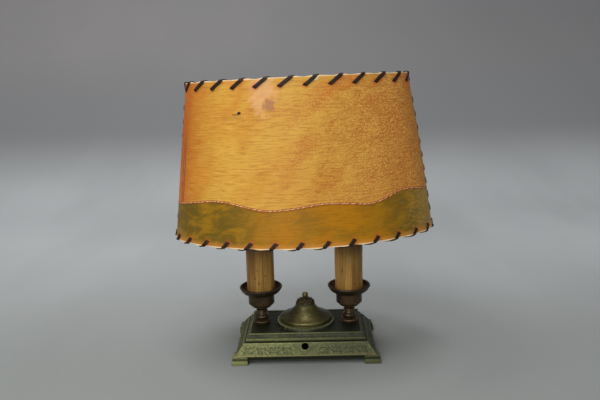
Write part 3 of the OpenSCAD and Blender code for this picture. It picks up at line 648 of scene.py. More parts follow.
def make_base():
    """The casting's skin: a seat ring, a flat plate, carved sloping panels and a foot, with two holes."""
    wide, deep = BASE_HALF
    sides = [((0, -1), (1, 0), wide, deep), ((1, 0), (0, 1), deep, wide),
             ((0, 1), (-1, 0), wide, deep), ((-1, 0), (0, -1), deep, wide)]
    columns = []
    for out, along, half, reach in sides:
        for share in np.linspace(-1, 1, int(2 * half / COLUMN_STEP) + 1)[:-1]:
            columns.append((*out, *along, share, half, reach))
    out_x, out_y, along_x, along_y, shares, halves, reaches = np.array(columns).T

    def on_side(inset, push=0.0):
        """The row of points at an inset from the feet; push moves it out of each side."""
        along = shares * (halves - inset)
        away = reaches - inset + push
        return out_x * away + along_x * along, out_y * away + along_y * along

    rim_x, rim_y = on_side(21.5)
    turn = np.arctan2(rim_y, rim_x)
    rows, marks = [], {"relief": [], "plate": [], "panel": []}

    def add(x, y, z, depth=0.5, plate=0.0, panel=0.0):
        rows.append(np.stack([x, y, np.broadcast_to(z, x.shape)], -1))
        for key, value in zip(marks, (depth, plate, panel)):
            marks[key].append(np.broadcast_to(value, x.shape))

    for r, z in seat_rows:
        add(r * np.cos(turn), r * np.sin(turn), z, plate=1.0)
    r = seat_rows[-1][0]
    for k in np.linspace(0, 1, PLATE_STEPS + 2)[1:-1]:
        x = (1 - k) * r * np.cos(turn) + k * rim_x
        y = (1 - k) * r * np.sin(turn) + k * rim_y
        add(x, y, PLATE_Z + 0.12 * smooth_noise(x, y, 60, 3), plate=1.0)
    for inset, z in outer_rows:
        x, y = on_side(inset)
        # The rim's top and the step's edge get the bright wear tone, painted highlights on their edges; the
        # cove and faces between get the plate's darkening, painted shade under the overhangs
        line = inset < 21 and z > 29.2 or 23.5 < z < 24.4
        add(x, y, z, 0.5 + 0.35 * line, 0.0 if line else 0.62)

    # Panels: carved all along, but flat round the switch in front and round the cord's inlet behind
    long_strokes, short_strokes = foliage(71, 14.5) + chevrons(), foliage(43, 1.5)
    flats = {-1: (SWITCH_X, SWITCH_DOWN, SWITCH_FLAT_R), 1: (-CORD_X, CORD_DOWN, CORD_FLAT_R)}
    slope_rows = np.linspace(PANEL_SLOPE, 0, PANEL_ROWS)
    insets = PANEL_FOOT[0] + PANEL_RUN * slope_rows / PANEL_SLOPE
    carved = []
    for out, _, half, _ in sides:
        mine = (out_x == out[0]) & (out_y == out[1])
        x = shares[mine][None, :] * (half - insets[:, None])
        s = np.repeat(slope_rows[:, None], mine.sum(), axis=1)
        strokes = long_strokes if out[1] else short_strokes
        h = relief(x, s, strokes, half - PANEL_FOOT[0], half - PANEL_HEAD[0])
        if out[1]:
            hole_x, down, flat_r = flats[out[1]]
            h = np.where(np.hypot(x - hole_x, s - (PANEL_SLOPE - down)) < flat_r, 0.0, h)
        carved.append(h)
    for i, (s, inset, h) in enumerate(zip(slope_rows, insets, np.hstack(carved))):
        ends = 0.0 if i in (0, PANEL_ROWS - 1) else 1.0
        away = ends * RELIEF_H * h * np.clip((1 - np.abs(shares)) * 60, 0, 1)
        x, y = on_side(inset, away * NORMAL_OUT)
        z = PANEL_HEAD[1] - (PANEL_SLOPE - s) * NORMAL_OUT + away * NORMAL_UP
        # The end panels get less of the panel tone than the front and back: painted shade on the sides
        add(x, y, z, 0.5 + 0.5 * h, panel=np.where(halves == wide, 1.0, 0.4))
    # The fascia below the panels and the faces under and inside the casting are painted dark: painted shade
    for inset, z in foot_rows:
        add(*on_side(inset), z, 0.28, 1.0)

    faces = grid_faces(len(rows), len(columns), wrap_rows=True, wrap_columns=True)
    base = add_object("base", np.stack(rows).reshape(-1, 3), faces, sharp=50)
    for key, values in marks.items():
        set_attribute(base, key, np.stack(values).ravel())
    for x, down, r, way in ((SWITCH_X, SWITCH_DOWN, SWITCH_R, -1), (CORD_X, CORD_DOWN, CORD_R, 1)):
        k = down / PANEL_SLOPE
        y = BASE_HALF[1] - PANEL_HEAD[0] + PANEL_RUN * k
        z = PANEL_HEAD[1] - PANEL_RISE * k
        drill(base, (x, way * y, z), (0, way * NORMAL_OUT, NORMAL_UP), r, 7)
    return base


def drill(obj, at, axis, r, reach):
    """Cuts a round hole through a piece, along an axis."""
    rod = prism(circle(r, 48), [(0, -reach), (0, reach)])
    tool = add_object("tool", *rod, matrix=aimed(Vector(at) * MM, axis))
    cut = obj.modifiers.new("hole", "BOOLEAN")
    cut.operation, cut.solver, cut.object = "DIFFERENCE", "EXACT", tool
    settle(obj)
    bpy.data.objects.remove(tool)


def settle(obj):
    """Replaces a piece's mesh by what its modifiers make of it."""
    bpy.context.view_layer.update()
    made = bpy.data.meshes.new_from_object(obj.evaluated_get(bpy.context.evaluated_depsgraph_get()))
    obj.modifiers.clear()
    old, obj.data = obj.data, made
    bpy.data.meshes.remove(old)


def unite(name, objects):
    """Joins pieces into the first one."""
    first = objects[0]
    with bpy.context.temp_override(active_object=first, selected_editable_objects=objects, object=first):
        bpy.ops.object.join()
    first.name = name
    return first


def prism(outline, levels):
    """Verts and faces of a closed block.

    Its levels are (inset, z), and the outline shrinks towards its middle lines by the inset."""
    outline = np.array(outline, float)
    ahead = np.roll(outline, -1, axis=0) - np.roll(outline, 1, axis=0)
    inward = np.stack([-ahead[:, 1], ahead[:, 0]], -1)
    inward /= np.linalg.norm(inward, axis=1)[:, None]
    n = len(outline)
    verts = np.vstack([np.hstack([outline + inward * k, np.full((n, 1), z)]) for k, z in levels])
    return verts, grid_faces(len(levels), n, wrap_columns=True) + end_faces(n, (len(levels) - 1) * n)


FOOT_RUN, FOOT_ARM, FOOT_STEP = 18.0, 6.7, 1.3


def make_feet():
    """Four stepped corner feet, each an angle of two arms."""
    parts = []
    for z0, z1, step in ((0.0, 4.9, 0.0), (4.7, 8.5, FOOT_STEP)):
        arm, run = FOOT_ARM - step, FOOT_RUN - step
        corner = [(0, 0), (run, 0), (run, arm), (arm, arm), (arm, run), (0, run)]
        levels = [(0.5, z0), (0.1, z0 + 0.12), (0, z0 + 0.5), (0, z1 - 0.5), (0.12, z1 - 0.14), (0.5, z1)]
        verts, faces = prism(softened(corner, 0.5), levels)
        for sx in (-1, 1):
            for sy in (-1, 1):
                moved = verts.copy()
                moved[:, 0] = sx * (BASE_HALF[0] - step - verts[:, 0])
                moved[:, 1] = sy * (BASE_HALF[1] - step - verts[:, 1])
                parts.append((moved, faces))
    feet = add_object("feet", *merged(parts), sharp=50)
    # The top faces of the pads and blocks get the bright wear tone: rubbed wear and partly painted
    # highlights
    top = np.array([v.co.z for v in feet.data.vertices]) / MM
    set_attribute(feet, "relief", np.where((abs(top - 4.83) < 0.15) | (top > 8.2), 0.85, 0.5))
    return feet


def ball(centre, r, rings=5, steps=8):
    """Verts and faces of a small closed ball."""
    rows = [[(0, 0, -r)]]
    for a in math.pi * np.arange(1, rings) / rings:
        rows.append(np.hstack([circle(r * math.sin(a), steps), np.full((steps, 1), -r * math.cos(a))]))
    verts = np.array(centre) + np.vstack(rows + [[(0, 0, r)]])
    faces = [[0, 1 + (j + 1) % steps, 1 + j] for j in range(steps)]
    faces += grid_faces(rings - 1, steps, wrap_columns=True, start=1)
    top = len(verts) - 1
    return verts, faces + [[top, top - steps + j, top - steps + (j + 1) % steps] for j in range(steps)]


BEADS, BEAD_R, BEAD_RING_R, BEAD_SUNK = 104, 0.72, 32.2, 0.35


def make_beads():
    parts = [ball((x, y, SEAT_TOP - BEAD_SUNK), BEAD_R) for x, y in circle(BEAD_RING_R, BEADS)]
    beads = add_object("beads", *merged(parts))
    set_attribute(beads, "relief", np.full(len(beads.data.vertices), 0.68))
    return beads


# Painted shade: the casting darkens to the right and towards the back, and strongly on the strip of the
# foot blocks; a warmer strip runs across the foot of the panels
casting_paint = brass_paint(
    "green_brown_cast_brass", high=(90, 94, 54), low=(67, 73, 42), dark=(28, 33, 18),
    wear_and_highlight=(152, 153, 100), grain=0.12, rough=(0.42, 0.62), metallic=0.5, panel=(124, 127, 76),
    painted_shade_across=((0, -65, 75, 0.6), (1, 10, 42, 0.5)),
    bands=((4.9, 8.3, 0.72, (22, 27, 12)), (8.7, 10.8, 0.35, (96, 80, 42))))
base = unite("base", [make_base(), make_feet(), make_beads()])
dress(base, casting_paint, "patinated_casting", "lamp", "base_casting")


# ---------------- dome, arms and cups

# Painted shade on both sides of the dome leaves a painted highlight down its middle
dome_paint = brass_paint(
    "olive_gold_brass", high=(118, 109, 66), low=(90, 86, 50), dark=(34, 33, 19), wear_and_highlight=(128, 122, 76),
    grain=0.08, rough=(0.36, 0.54), metallic=0.75, painted_shade_across=((0, -10, -17, 0.5), (0, 10, 24, 0.5)), seed=40.0)
crown_paint = brass_paint(
    "dark_brass", high=(66, 57, 33), low=(46, 39, 24), dark=(16, 13, 8), wear_and_highlight=(120, 112, 76),
    grain=0.1, rough=(0.25, 0.45), metallic=0.8, seed=90.0)
bronze_paint = brass_paint(
    "dark_bronze", high=(88, 68, 46), low=(64, 54, 38), dark=(30, 24, 17), wear_and_highlight=(168, 134, 92),
    grain=0.08, rough=(0.28, 0.5), metallic=0.8, seed=150.0)

CROWN_Z, CROWN_R, CROWN_H, PETALS, GADROONS = 51.1, 11.3, 7.2, 9, 14


def make_crown():
    """Two rows of upright petals with beads between them, on a low dome."""

    def petals(a, r, z):
        height = z / CROWN_H
        wave = np.abs(np.sin(a * PETALS + (height > 0.55) * math.pi / 2))
        swell = np.clip(np.sin(math.pi * np.clip(height * 1.05, 0, 1)), 0, 1)
        dent = 0.75 * np.clip(1 - wave, 0, 1) ** 2 * swell
        return r - dent - 0.25 * (np.abs(height - 0.52) < 0.035)

    outline = joined(
        [(4.0, 0), (CROWN_R - 1.2, 0), (CROWN_R - 0.35, 0.12), (CROWN_R - 0.2, 0.6)],
        curve((CROWN_R - 0.4, 1.0), (CROWN_R - 0.6, 4.7), (6.8, 6.0), 18),
        curve((6.8, 6.0), (4.8, 6.9), (3.2, CROWN_H), 8),
        [(1.6, CROWN_H), (1.6, 4.0), (4.0, 2.0), (4.0, 0)])
    crown = lathe("crown_body", outline, (0, 0, CROWN_Z), 216, petals, sharp=50)
    parts = []
    rings = ((18, 10.4, 1.2, 0.62, 0.5), (9, 9.5, 4.3, 0.8, 0.0), (9, 7.4, 5.9, 0.6, 0.5))
    for count, r, z, size, turn in rings:
        for i in range(count):
            a = 2 * math.pi * (i + turn) / count
            parts.append(ball((r * math.cos(a), r * math.sin(a), CROWN_Z + z), size))
    return unite("crown", [crown, add_object("crown_beads", *merged(parts))])


def make_finial():
    neck = [(1.0, 58.45), (2.5, 58.45), (2.6, 58.7), (2.0, 59.0)]
    outline = joined(neck, arc((0, 61.7), 3.5, -54, 90, 28))
    return lathe("finial", outline)


def make_stem(side):
    """A turned arm foot: gadrooned ring, onion and three fine rings under the cup."""

    def gadroon(a, r, h):
        band = np.clip(1 - np.abs(h - 2.4) / 2.1, 0, 1) ** 0.5
        return r + band * 0.42 * (np.abs(np.cos(a * GADROONS)) - 0.6)

    outline = joined(
        [(5.2, 0.02), (9.1, 0.02), (9.5, 0.3)], arc((7.6, 2.4), 2.1, -60, 70, 14),
        [(8.0, 4.7), (8.1, 5.1), (7.7, 5.4)],
        curve((7.4, 5.6), (9.0, 8.4), (6.6, 10.6), 16), curve((6.6, 10.6), (5.5, 11.6), (5.3, 12.6), 6),
        arc((5.3, 13.4), 0.85, -80, 80, 8), [(5.1, 14.4)],
        arc((5.4, 15.5), 1.15, -80, 80, 10), [(5.2, 16.8)],
        curve((5.4, 17.1), (6.0, 18.6), (8.4, 19.4), 8),
        [(8.8, 19.7), (8.8, 20.25), (5.2, 20.28), (5.2, 0.02)])
    return lathe(f"{side}_arm", outline, (SIDES[side] * CANDLE_X, 0, PLATE_Z), 168, gadroon)


SLEEVE_LOW, SLEEVE_HIGH, SLEEVE_R, SLEEVE_BORE_R = 67.15, 176.05, 16.0, 15.0
SLEEVE_ROWS, WAX_RUNS = 110, 17


def make_sleeve(side):
    """An aged card candle with wax runs down it and a drawn-in, dripped top."""
    dice = np.random.default_rng(11 if side == "left" else 29)
    ranges = ((0, 2 * math.pi), (0.10, 0.22), (18, 92), (0.3, 0.62))
    runs = [[dice.uniform(*span) for span in ranges] for _ in range(WAX_RUNS)]

    def drips(a, r, z):
        out = np.zeros_like(r)
        for turn, half, length, thick in runs:
            off = np.abs((a - turn + math.pi) % (2 * math.pi) - math.pi)
            above = z - (SLEEVE_HIGH - length)
            swell = half * (0.85 + 0.35 * np.clip(above / 20, 0, 1))
            ridge = np.clip(1 - (off / swell) ** 2, 0, 1) ** 0.8
            end = np.clip(above / 3.5, 0, 1) ** 0.5
            drop = np.exp(-((above - 3.0) / 3.2) ** 2) * 0.22
            out = np.maximum(out, ridge * end * (thick + drop))
        wobble = 0.06 * np.sin(9 * a + z / 9) + 0.05 * np.sin(17 * a - z / 14)
        return np.where(r > 15.5, r - 0.12 + out * 0.55 + wobble, r)

    zs = np.linspace(SLEEVE_LOW + 0.4, SLEEVE_HIGH - 0.6, SLEEVE_ROWS)
    outline = joined(
        [(SLEEVE_BORE_R, SLEEVE_LOW), (15.7, SLEEVE_LOW), (15.95, SLEEVE_LOW + 0.15)],
        np.stack([np.full(SLEEVE_ROWS, SLEEVE_R), zs], -1),
        [(15.9, SLEEVE_HIGH - 0.2), (15.5, SLEEVE_HIGH), (15.2, SLEEVE_HIGH)],
        [(SLEEVE_BORE_R, SLEEVE_HIGH - 0.2), (SLEEVE_BORE_R, SLEEVE_LOW)])
    return lathe(f"{side}_candle", outline, (SIDES[side] * CANDLE_X, 0, 0), 180, drips, sharp=60)


def candle_paint():
    p = Paint("aged_wax_card")
    at = p.place()
    long_grain = p.noise(p.place((1, 1, 0.07)), 2.2, 4, 0.6)
    runs = p.noise(p.place((1, 1, 0.035)), 7, 3, 0.6, 0.4)
    spots = p.noise(at, 5.5, 3)
    blotch = p.noise(p.place((1, 1, 0.5)), 16, 3)
    up = p.axes(at)[2]
    colour = p.mix(
        (runs, 0.38, 0.64), (180, 138, 66), (126, 90, 38),
        ((92, 60, 26), (long_grain, 0.5, 0.75), 0.5),
        ((160, 130, 72), (blotch, 0.5, 0.75), 0.45),
        ((44, 28, 14), (spots, 0.63, 0.7), 0.85),
        # Painted shadow of the shade: darker towards the top, where the shade hangs over it; the next tone
        # makes it darker just above the cup
        ((66, 46, 22), (p.plus(up, p.times(blotch, 16)), 112, 138, 0, 0.85)),
        ((96, 60, 28), (up, 73, 68, 0, 0.5)))
    normal = p.bump(p.plus(long_grain, p.times(spots, 0.4)), 0.25)
    return p.finish(colour, (long_grain, 0.3, 0.7, 0.45, 0.62), normal,
                    Specular_IOR_Level=0.3, Coat_Weight=0.05, Coat_Roughness=0.3)


dress(make_crown(), crown_paint, "dome_brass", "lamp", "dome_crown")
dress(make_finial(), dome_paint, "dome_brass", "finial", "ball_finial")
coat(dome_paint, "dome_cover")
wax = candle_paint()
for side in SIDES:
    dress(make_stem(side), bronze_paint, "dark_bronze", "lamp", f"{side}_stem")
    dress(make_sleeve(side), wax, "candle_sleeve", f"{side}_candle_sleeve", f"{side}_sleeve")
coat(bronze_paint, *both("cup"))


# ---------------- hidden hardware and bulbs


def plain_paint(name, colour, other, size, rough, metallic, depth=0.05):
    """Two close tones in small lumps, with a fine bump."""
    p = Paint(name)
    lumps = p.noise(p.place(), size, 4, 0.6)
    return p.finish(p.mix((lumps, 0.35, 0.65), colour, other), (lumps, 0.3, 0.7, rough, rough + 0.15),
                    p.bump(lumps, depth), Metallic=metallic)


def frosted_glass():
    p = Paint("frosted_glass")
    at = p.place()
    haze, grain = p.noise(at, 14, 3), p.noise(at, 0.5, 2)
    colour = p.mix(haze, (236, 235, 228), (222, 221, 212))
    return p.finish(colour, (haze, 0.3, 0.7, 0.28, 0.4), p.bump(grain, 0.02),
                    Transmission_Weight=0.35, IOR=1.45, Coat_Weight=0.5, Coat_Roughness=0.08)


# Paint's name, its two tones, the size of its lumps, roughness, metal, depth of bump, and the CAD nodes
COATS = (
    ("dull_plated_steel", (150, 148, 140), (112, 108, 98), 4, 0.35, 1.0, 0.05,
     ("bottom_cover_screws", "dome_rod", "dome_rod_nuts", *both("nipple"), *both("washers"),
      *both("locknuts"), *both("socket_bracket"))),
    ("japanned_sheet", (38, 36, 34), (54, 50, 44), 9, 0.3, 0.2, 0.1, ("bottom_cover",)),
    ("vulcanised_fibre", (92, 46, 30), (70, 34, 22), 2.5, 0.45, 0.0, 0.05, ("cord_bushing",)),
    ("moulded_phenolic", (30, 27, 25), (44, 38, 34), 3, 0.3, 0.0, 0.05, both("socket_body")),
    ("thin_brass_shell", (206, 168, 92), (170, 130, 66), 5, 0.25, 1.0, 0.05,
     both("screw_shell") + both("centre_contact")),
    ("cloth_lead", (150, 132, 92), (112, 96, 64), 0.8, 0.8, 0.0, 0.2, both("leads")),
    ("friction_tape", (28, 27, 26), (44, 42, 40), 1.2, 0.8, 0.0, 0.2, ("line_splice", "neutral_splice")),
    ("bulb_cap_metal", (196, 194, 188), (164, 160, 150), 6, 0.28, 1.0, 0.05, both("bulb_cap")),
    ("tarnished_wire", (140, 128, 100), (92, 78, 54), 3, 0.35, 0.9, 0.05,
     ("shade_crossbar", "shade_left_rib", "shade_right_rib", *both("filament_mount"), *both("bulb_clip"))),
)
for *look, nodes in COATS:
    coat(plain_paint(*look), *nodes)
coat(frosted_glass(), *both("bulb_glass"))


# ---------------- shade

HALF_ROUND = round_length() / 2
EDGE_HOLE_IN_TOP, EDGE_HOLE_IN_LOW, SEAM_HOLE_IN, SEAM_PITCH = 8.2, 5.0, 5.2, 15.0
SEAM_END_GAP, SEAM_GAP = 11, 0.5
TOP_PHASE, LOW_PHASE = 0.88, 0.5
top_hole_z, low_hole_z = TOP_Z - EDGE_HOLE_IN_TOP, LOW_Z + EDGE_HOLE_IN_LOW
seam_holes_z = np.arange(low_hole_z + SEAM_END_GAP, top_hole_z - SEAM_END_GAP, SEAM_PITCH)
# Height of the tooled line above the lower edge, by share of the way across a panel
LINE_SHARES = (0.0, 0.1, 0.18, 0.25, 0.3, 0.35, 0.41, 0.47, 0.56, 0.63, 0.69, 0.74, 0.79, 0.84, 0.92, 1.0)
LINE_HEIGHTS = {"front": (35, 40, 43.5, 46.5, 45.5, 41, 37, 38.5, 43, 41, 38, 42, 48, 48, 44, 40),
                "back": (40, 43, 46, 47, 45, 42, 39, 38, 41, 45, 47, 46, 42, 39, 37, 35)}


def line_height(share, panel):
    """Height of the tooled line above the lower edge, smoothed through its places."""
    fine = np.linspace(0, 1, 401)
    raw = np.interp(fine, LINE_SHARES, LINE_HEIGHTS[panel])
    kernel = np.hanning(31)
    smooth = np.convolve(np.pad(raw, 15, mode="edge"), kernel / kernel.sum(), "valid")
    return np.interp(share, fine, smooth)


def stitch_wave(run, count, phase):
    """1 at each stitch of an edge and -1 half-way between two."""
    return np.cos(2 * math.pi * (run * count - phase))


def ripple(run, z):
    """How far the aged parchment stands out from its even shape; run is the share of the way round."""
    a = 2 * math.pi * run
    high = (z - LOW_Z) / SHADE_H
    slow = (0.45 * np.sin(5 * a + 1.2 + 2.2 * high) + 0.3 * np.sin(9 * a + 4.0 - 3 * high)
            + 0.22 * np.sin(17 * a + 5 * high))
    middle = np.clip(np.sin(math.pi * np.clip(high, 0, 1)), 0, 1)
    top_pull = 0.35 * stitch_wave(run, TOP_STITCHES, TOP_PHASE) * np.exp(-((1 - high) / 0.06) ** 2)
    low_pull = 0.35 * stitch_wave(run, BOTTOM_STITCHES, LOW_PHASE) * np.exp(-(high / 0.06) ** 2)
    return slow * middle - top_pull - low_pull


def on_parchment(run, z, out):
    """Point on the rippled parchment: run is the share of the way round, at its own height."""
    k = inset_at(z)
    turn = bearing(run * round_length(k), k)
    return on_shade(turn, z, out + ripple(run, z))


def make_panel(panel):
    """One half of the shade's parchment, with its own thickness and a slightly uneven cut edge."""
    columns, rows = 300, 128
    gap = SEAM_GAP / 2 / HALF_ROUND
    share, high = np.meshgrid(np.linspace(gap, 1 - gap, columns), np.linspace(0, 1, rows))
    run = (0.5 if panel == "front" else 0.0) + share / 2
    top_wave = 0.35 * stitch_wave(run, TOP_STITCHES, TOP_PHASE) + 0.2 * np.sin(41 * run * 2 * math.pi)
    low_wave = 0.4 * stitch_wave(run, BOTTOM_STITCHES, LOW_PHASE) + 0.2 * np.sin(53 * run * 2 * math.pi)
    near_top, near_low = (np.clip(v, 0, 1) for v in ((high - 0.95) / 0.05, (0.05 - high) / 0.05))
    z = LOW_Z + high * SHADE_H - top_wave * near_top + low_wave * near_low
    below = line_height(share, panel) - (z - LOW_Z)
    side = np.minimum(share, 1 - share) * HALF_ROUND
    ridge = 0.35 * np.exp(-(below / 0.9) ** 2) - 0.15 * np.exp(-((np.abs(below) - 2.0) / 0.6) ** 2)
    verts = np.vstack([on_parchment(run, z, out).reshape(-1, 3) for out in (ridge, -PARCHMENT_T)])
    n = rows * columns
    outer = grid_faces(rows, columns)
    grid = np.arange(n).reshape(rows, columns)
    rim = np.concatenate([grid[0], grid[1:, -1], grid[-1, -2::-1], grid[-2:0:-1, 0]]).tolist()
    faces = outer + [[i + n for i in face][::-1] for face in outer]
    faces += [[a, b, b + n, a + n] for a, b in zip(rim, rim[1:] + rim[:1])]
    sheet = add_object(f"{panel}_parchment", verts, faces, matrix=SHADE_FRAME, sharp=50)
    # Distances to the nearest lacing hole, for the stain round each one
    hole = np.full(run.shape, 30.0)
    edges = ((TOP_STITCHES, TOP_PHASE, top_hole_z), (BOTTOM_STITCHES, LOW_PHASE, low_hole_z))
    for count, phase, hole_z in edges:
        holes = (np.arange(count) + phase) / count
        off = np.abs((run[..., None] - holes + 0.5) % 1 - 0.5).min(-1)
        hole = np.minimum(hole, np.hypot(off * round_length(inset_at(hole_z)), z - hole_z))
    for hole_z in seam_holes_z:
        hole = np.minimum(hole, np.hypot(side - SEAM_HOLE_IN, z - hole_z))
    marks = {"around": run * round_length(inset_at(z)), "up": z - LOW_Z, "below": below,
             "hole": hole, "share": share, "side": side}
    for name, values in marks.items():
        set_attribute(sheet, name, np.tile(values.ravel(), 2))
    set_attribute(sheet, "inside", np.repeat([0.0, 1.0], n))
    return sheet


LEFT_LINE_IN = 41


def parchment_paint(panel, seed):
    p = Paint(f"{panel}_painted_parchment")
    around, up, below, hole, share, side, inside = p.attributes(
        "around", "up", "below", "hole", "share", "side", "inside")
    flat = p.vector(p.plus(around, seed), up)
    wide = p.noise(flat, 80, 3)
    cloud = p.noise(flat, 30, 3, 0.5, 0.4)
    mottle = p.noise(flat, 6, 4, 0.62)
    streaks = p.noise(p.stretched(flat, (0.09, 1, 1)), 1.5, 3, 0.65)
    blots = p.noise(p.stretched(flat, (0.4, 1, 1)), 7, 4, 0.7)
    specks = p.noise(p.stretched(flat, (0.75, 1, 1)), 2.3, 3, 0.7, 0.6)

    def centred(value, middle, scale):
        return p.times(p.maths("SUBTRACT", value, middle), scale)

    def spot(at_share, at_up, half_w, half_h, ragged):
        """1 in the middle of a soft ragged patch, 0 outside."""
        x, y = centred(share, at_share, HALF_ROUND / half_w), centred(up, at_up, 1 / half_h)
        far = p.plus(p.times(x, x), p.times(y, y))
        return p.step(p.plus(far, centred(mottle, 0.5, 3 * ragged)), 1.4, 0.1)

    # Orange-brown wash: blots on the left, worm-like speckles that thicken to the right
    blotted = (p.plus(share, centred(cloud, 0.5, 0.2)), 0.24, 0.03)
    speckled = (p.plus(share, centred(cloud, 0.5, 0.6)), 0.3, 0.84)
    patches = [
        ((224, 172, 124), spot(0.4, 152, 17, 22, 1.2), 0.55),
        ((140, 80, 50), spot(0.418, 140, 8, 8, 1.6), 0.62),
        ((150, 116, 56), spot(0.3, 129, 14, 3, 0.9), 0.3),
        ((120, 66, 26), spot(0.312, 132.4, 5, 1.1, 0.3), 0.6),
        ((28, 22, 14), spot(0.325, 133.8, 3.0, 1.8, 0.3)),
        ((250, 238, 206), spot(0.56, 165.5, 4.6, 3.2, 0.3))] if panel == "front" else []
    tan = p.mix(
        (share, 0.06, 0.3), (160, 94, 20), (206, 158, 64),
        ((210, 158, 72), (share, 0.46, 0.86)),
        ((196, 132, 42), (wide, 0.4, 0.66), 0.5),
        ((192, 120, 36), (cloud, 0.46, 0.7), 0.35),
        ((226, 180, 92), (mottle, 0.5, 0.8), 0.22),
        ((156, 88, 26), (streaks, 0.47, 0.66), 0.5),
        ((228, 184, 96), (streaks, 0.42, 0.3), 0.25),
        ((186, 80, 16), blotted, (blots, 0.4, 0.62, 0.25, 1), 0.75),
        ((156, 72, 30), speckled, (p.off(specks, 0.5), 0.07, 0.015), 0.85),
        ((204, 100, 44), (up, 140, 166), (cloud, 0.42, 0.6), 0.4),
        ((150, 62, 26), (share, 0.05, 0.005), 0.6), *patches)
    # Painted band below the tooled line
    slant = p.vector(p.plus(around, p.times(up, 1.3)), up, seed)
    brush = p.noise(p.stretched(slant, (0.3, 1, 1)), 2.6, 4, 0.65, 0.5)
    leafy = p.noise(p.stretched(flat, (0.5, 1, 1)), 15, 5, 0.65, 0.6)
    green = p.maths("MAXIMUM", (p.off(share, 0.16), 0.26, 0.08), (share, 0.66, 0.9))
    band = p.mix(
        (leafy, 0.36, 0.64), (150, 108, 16), (118, 88, 16),
        ((168, 110, 6), (p.off(share, 0.56), 0.24, 0.1), (cloud, 0.34, 0.56, 0.4, 1)),
        ((92, 76, 18), green, (leafy, 0.4, 0.6, 0.1, 0.75)),
        ((112, 104, 50), (share, 0.1, 0.01), 0.6),
        ((172, 140, 68), (share, 0.8, 0.94), 0.75),
        ((176, 146, 84), (share, 0.74, 0.88), (brush, 0.5, 0.62), 0.5),
        ((84, 66, 20), (brush, 0.44, 0.3), 0.35),
        ((96, 66, 14), (streaks, 0.48, 0.66), 0.3),
        ((196, 128, 48), (p.plus(up, p.times(mottle, 5)), 9, 4), 0.6))
    # Tooled line, red-brown each side of a paler twist, painted highlights of a twisted cord; a second one
    # climbs beside the left seam with paler dashes painted the same way
    line = p.maths("ABSOLUTE", below)
    aside = p.off(p.times(share, HALF_ROUND), LEFT_LINE_IN)
    reach = p.times((below, 0.0, -1.0), (up, 122, 96))
    twist, climb = (p.noise(p.vector(p.plus(along, p.times(across, 2.2)), 0.0), 2.4, 1)
                    for along, across in ((around, below), (up, side)))
    rim = p.maths("MAXIMUM", (up, 165.6, 166.5), (up, 1.2, 0.4))
    colour = p.mix(
        (below, -0.25, 0.25), tan, band,
        ((138, 54, 24), (line, 1.6, 0.7), 0.85),
        ((240, 200, 140), (line, 0.6, 0.25), (twist, 0.46, 0.56)),
        ((134, 50, 24), (aside, 4.4, 3.0), reach, 0.8),
        ((214, 140, 80), (aside, 1.5, 0.7), (climb, 0.44, 0.54), p.times(reach, 0.8)),
        # Stain round each hole, the hole, the cut edge, and the plain inner face
        ((184, 84, 42), (p.plus(hole, p.times(mottle, 4)), 7.5, 3.6), 0.5),
        ((26, 14, 8), (hole, 1.6, 1.1)),
        ((240, 214, 168), rim, 0.8),
        (p.mix((cloud, 0.3, 0.7), (216, 176, 110), (190, 142, 80)), inside))
    normal = p.bump(p.plus(p.times(mottle, 0.4), p.times(streaks, 0.3)), 0.1)
    return p.finish(colour, (mottle, 0.3, 0.7, 0.42, 0.58), normal, Specular_IOR_Level=0.16)


for panel, seed in (("front", 0.0), ("back", 431.0)):
    dress(make_panel(panel), parchment_paint(panel, seed), "parchment", "shade", f"shade_{panel}_panel")

RING_IN = 2.2


def shade_sweep(name, path, normals, section, closed=True, sharp=50):
    """A piece swept along a path in the shade's frame."""
    return add_object(name, *sweep(path, normals, section, closed), matrix=SHADE_FRAME, sharp=sharp)


def make_ring(name, z):
    """A smooth oval of frame wire inside an edge of the shade."""
    turns = bearing(np.linspace(0, round_length(), 240, endpoint=False))
    x, y = oval_point(turns, inset_at(z) + WIRE_IN)
    path = np.stack([x, y, np.full_like(x, z)], -1)
    normals = np.tile((0.0, 0.0, 1.0), (len(path), 1))
    return shade_sweep(name, path, normals, circle(WIRE_R, 14), sharp=None)


ring_paint = plain_paint("lacquered_wire", (126, 96, 50), (90, 66, 34), 3, 0.4, 0.5)
for end, z in (("top", TOP_Z - RING_IN), ("bottom", LOW_Z + RING_IN)):
    dress(make_ring(f"{end}_wire", z), ring_paint, "frame_wire", "shade", f"shade_{end}_ring")


def smoothed(points, normals, steps, closed):
    """A Catmull-Rom curve through points, with their normals blended along it."""
    points, normals = np.array(points, float), np.array(normals, float)
    before, after = (points[-1:], points[:2]) if closed else (points[:1], points[-1:])
    padded = np.vstack([before, points, after])
    t = np.linspace(0, 1, steps, endpoint=False)[:, None]
    out_p, out_n = [], []
    for i in range(len(padded) - 3):
        a, b, c, d = padded[i:i + 4]
        square, cube = 2 * a - 5 * b + 4 * c - d, 3 * b - a - 3 * c + d
        out_p.append(0.5 * (2 * b + (c - a) * t + square * t ** 2 + cube * t ** 3))
        out_n.append(normals[i] * (1 - t) + normals[(i + 1) % len(normals)] * t)
    if not closed:
        out_p.append(points[-1:])
        out_n.append(normals[-1:])
    return np.vstack(out_p), np.vstack(out_n)


LACE_W, LACE_T, SEAM_LACE_SCALE = 3.8, 0.9, 0.85
lace_corners = [(sx * LACE_W / 2, sy * LACE_T / 2) for sx, sy in ((-1, -1), (1, -1), (1, 1), (-1, 1))]
lace_section = softened(lace_corners, 0.3, steps=2)

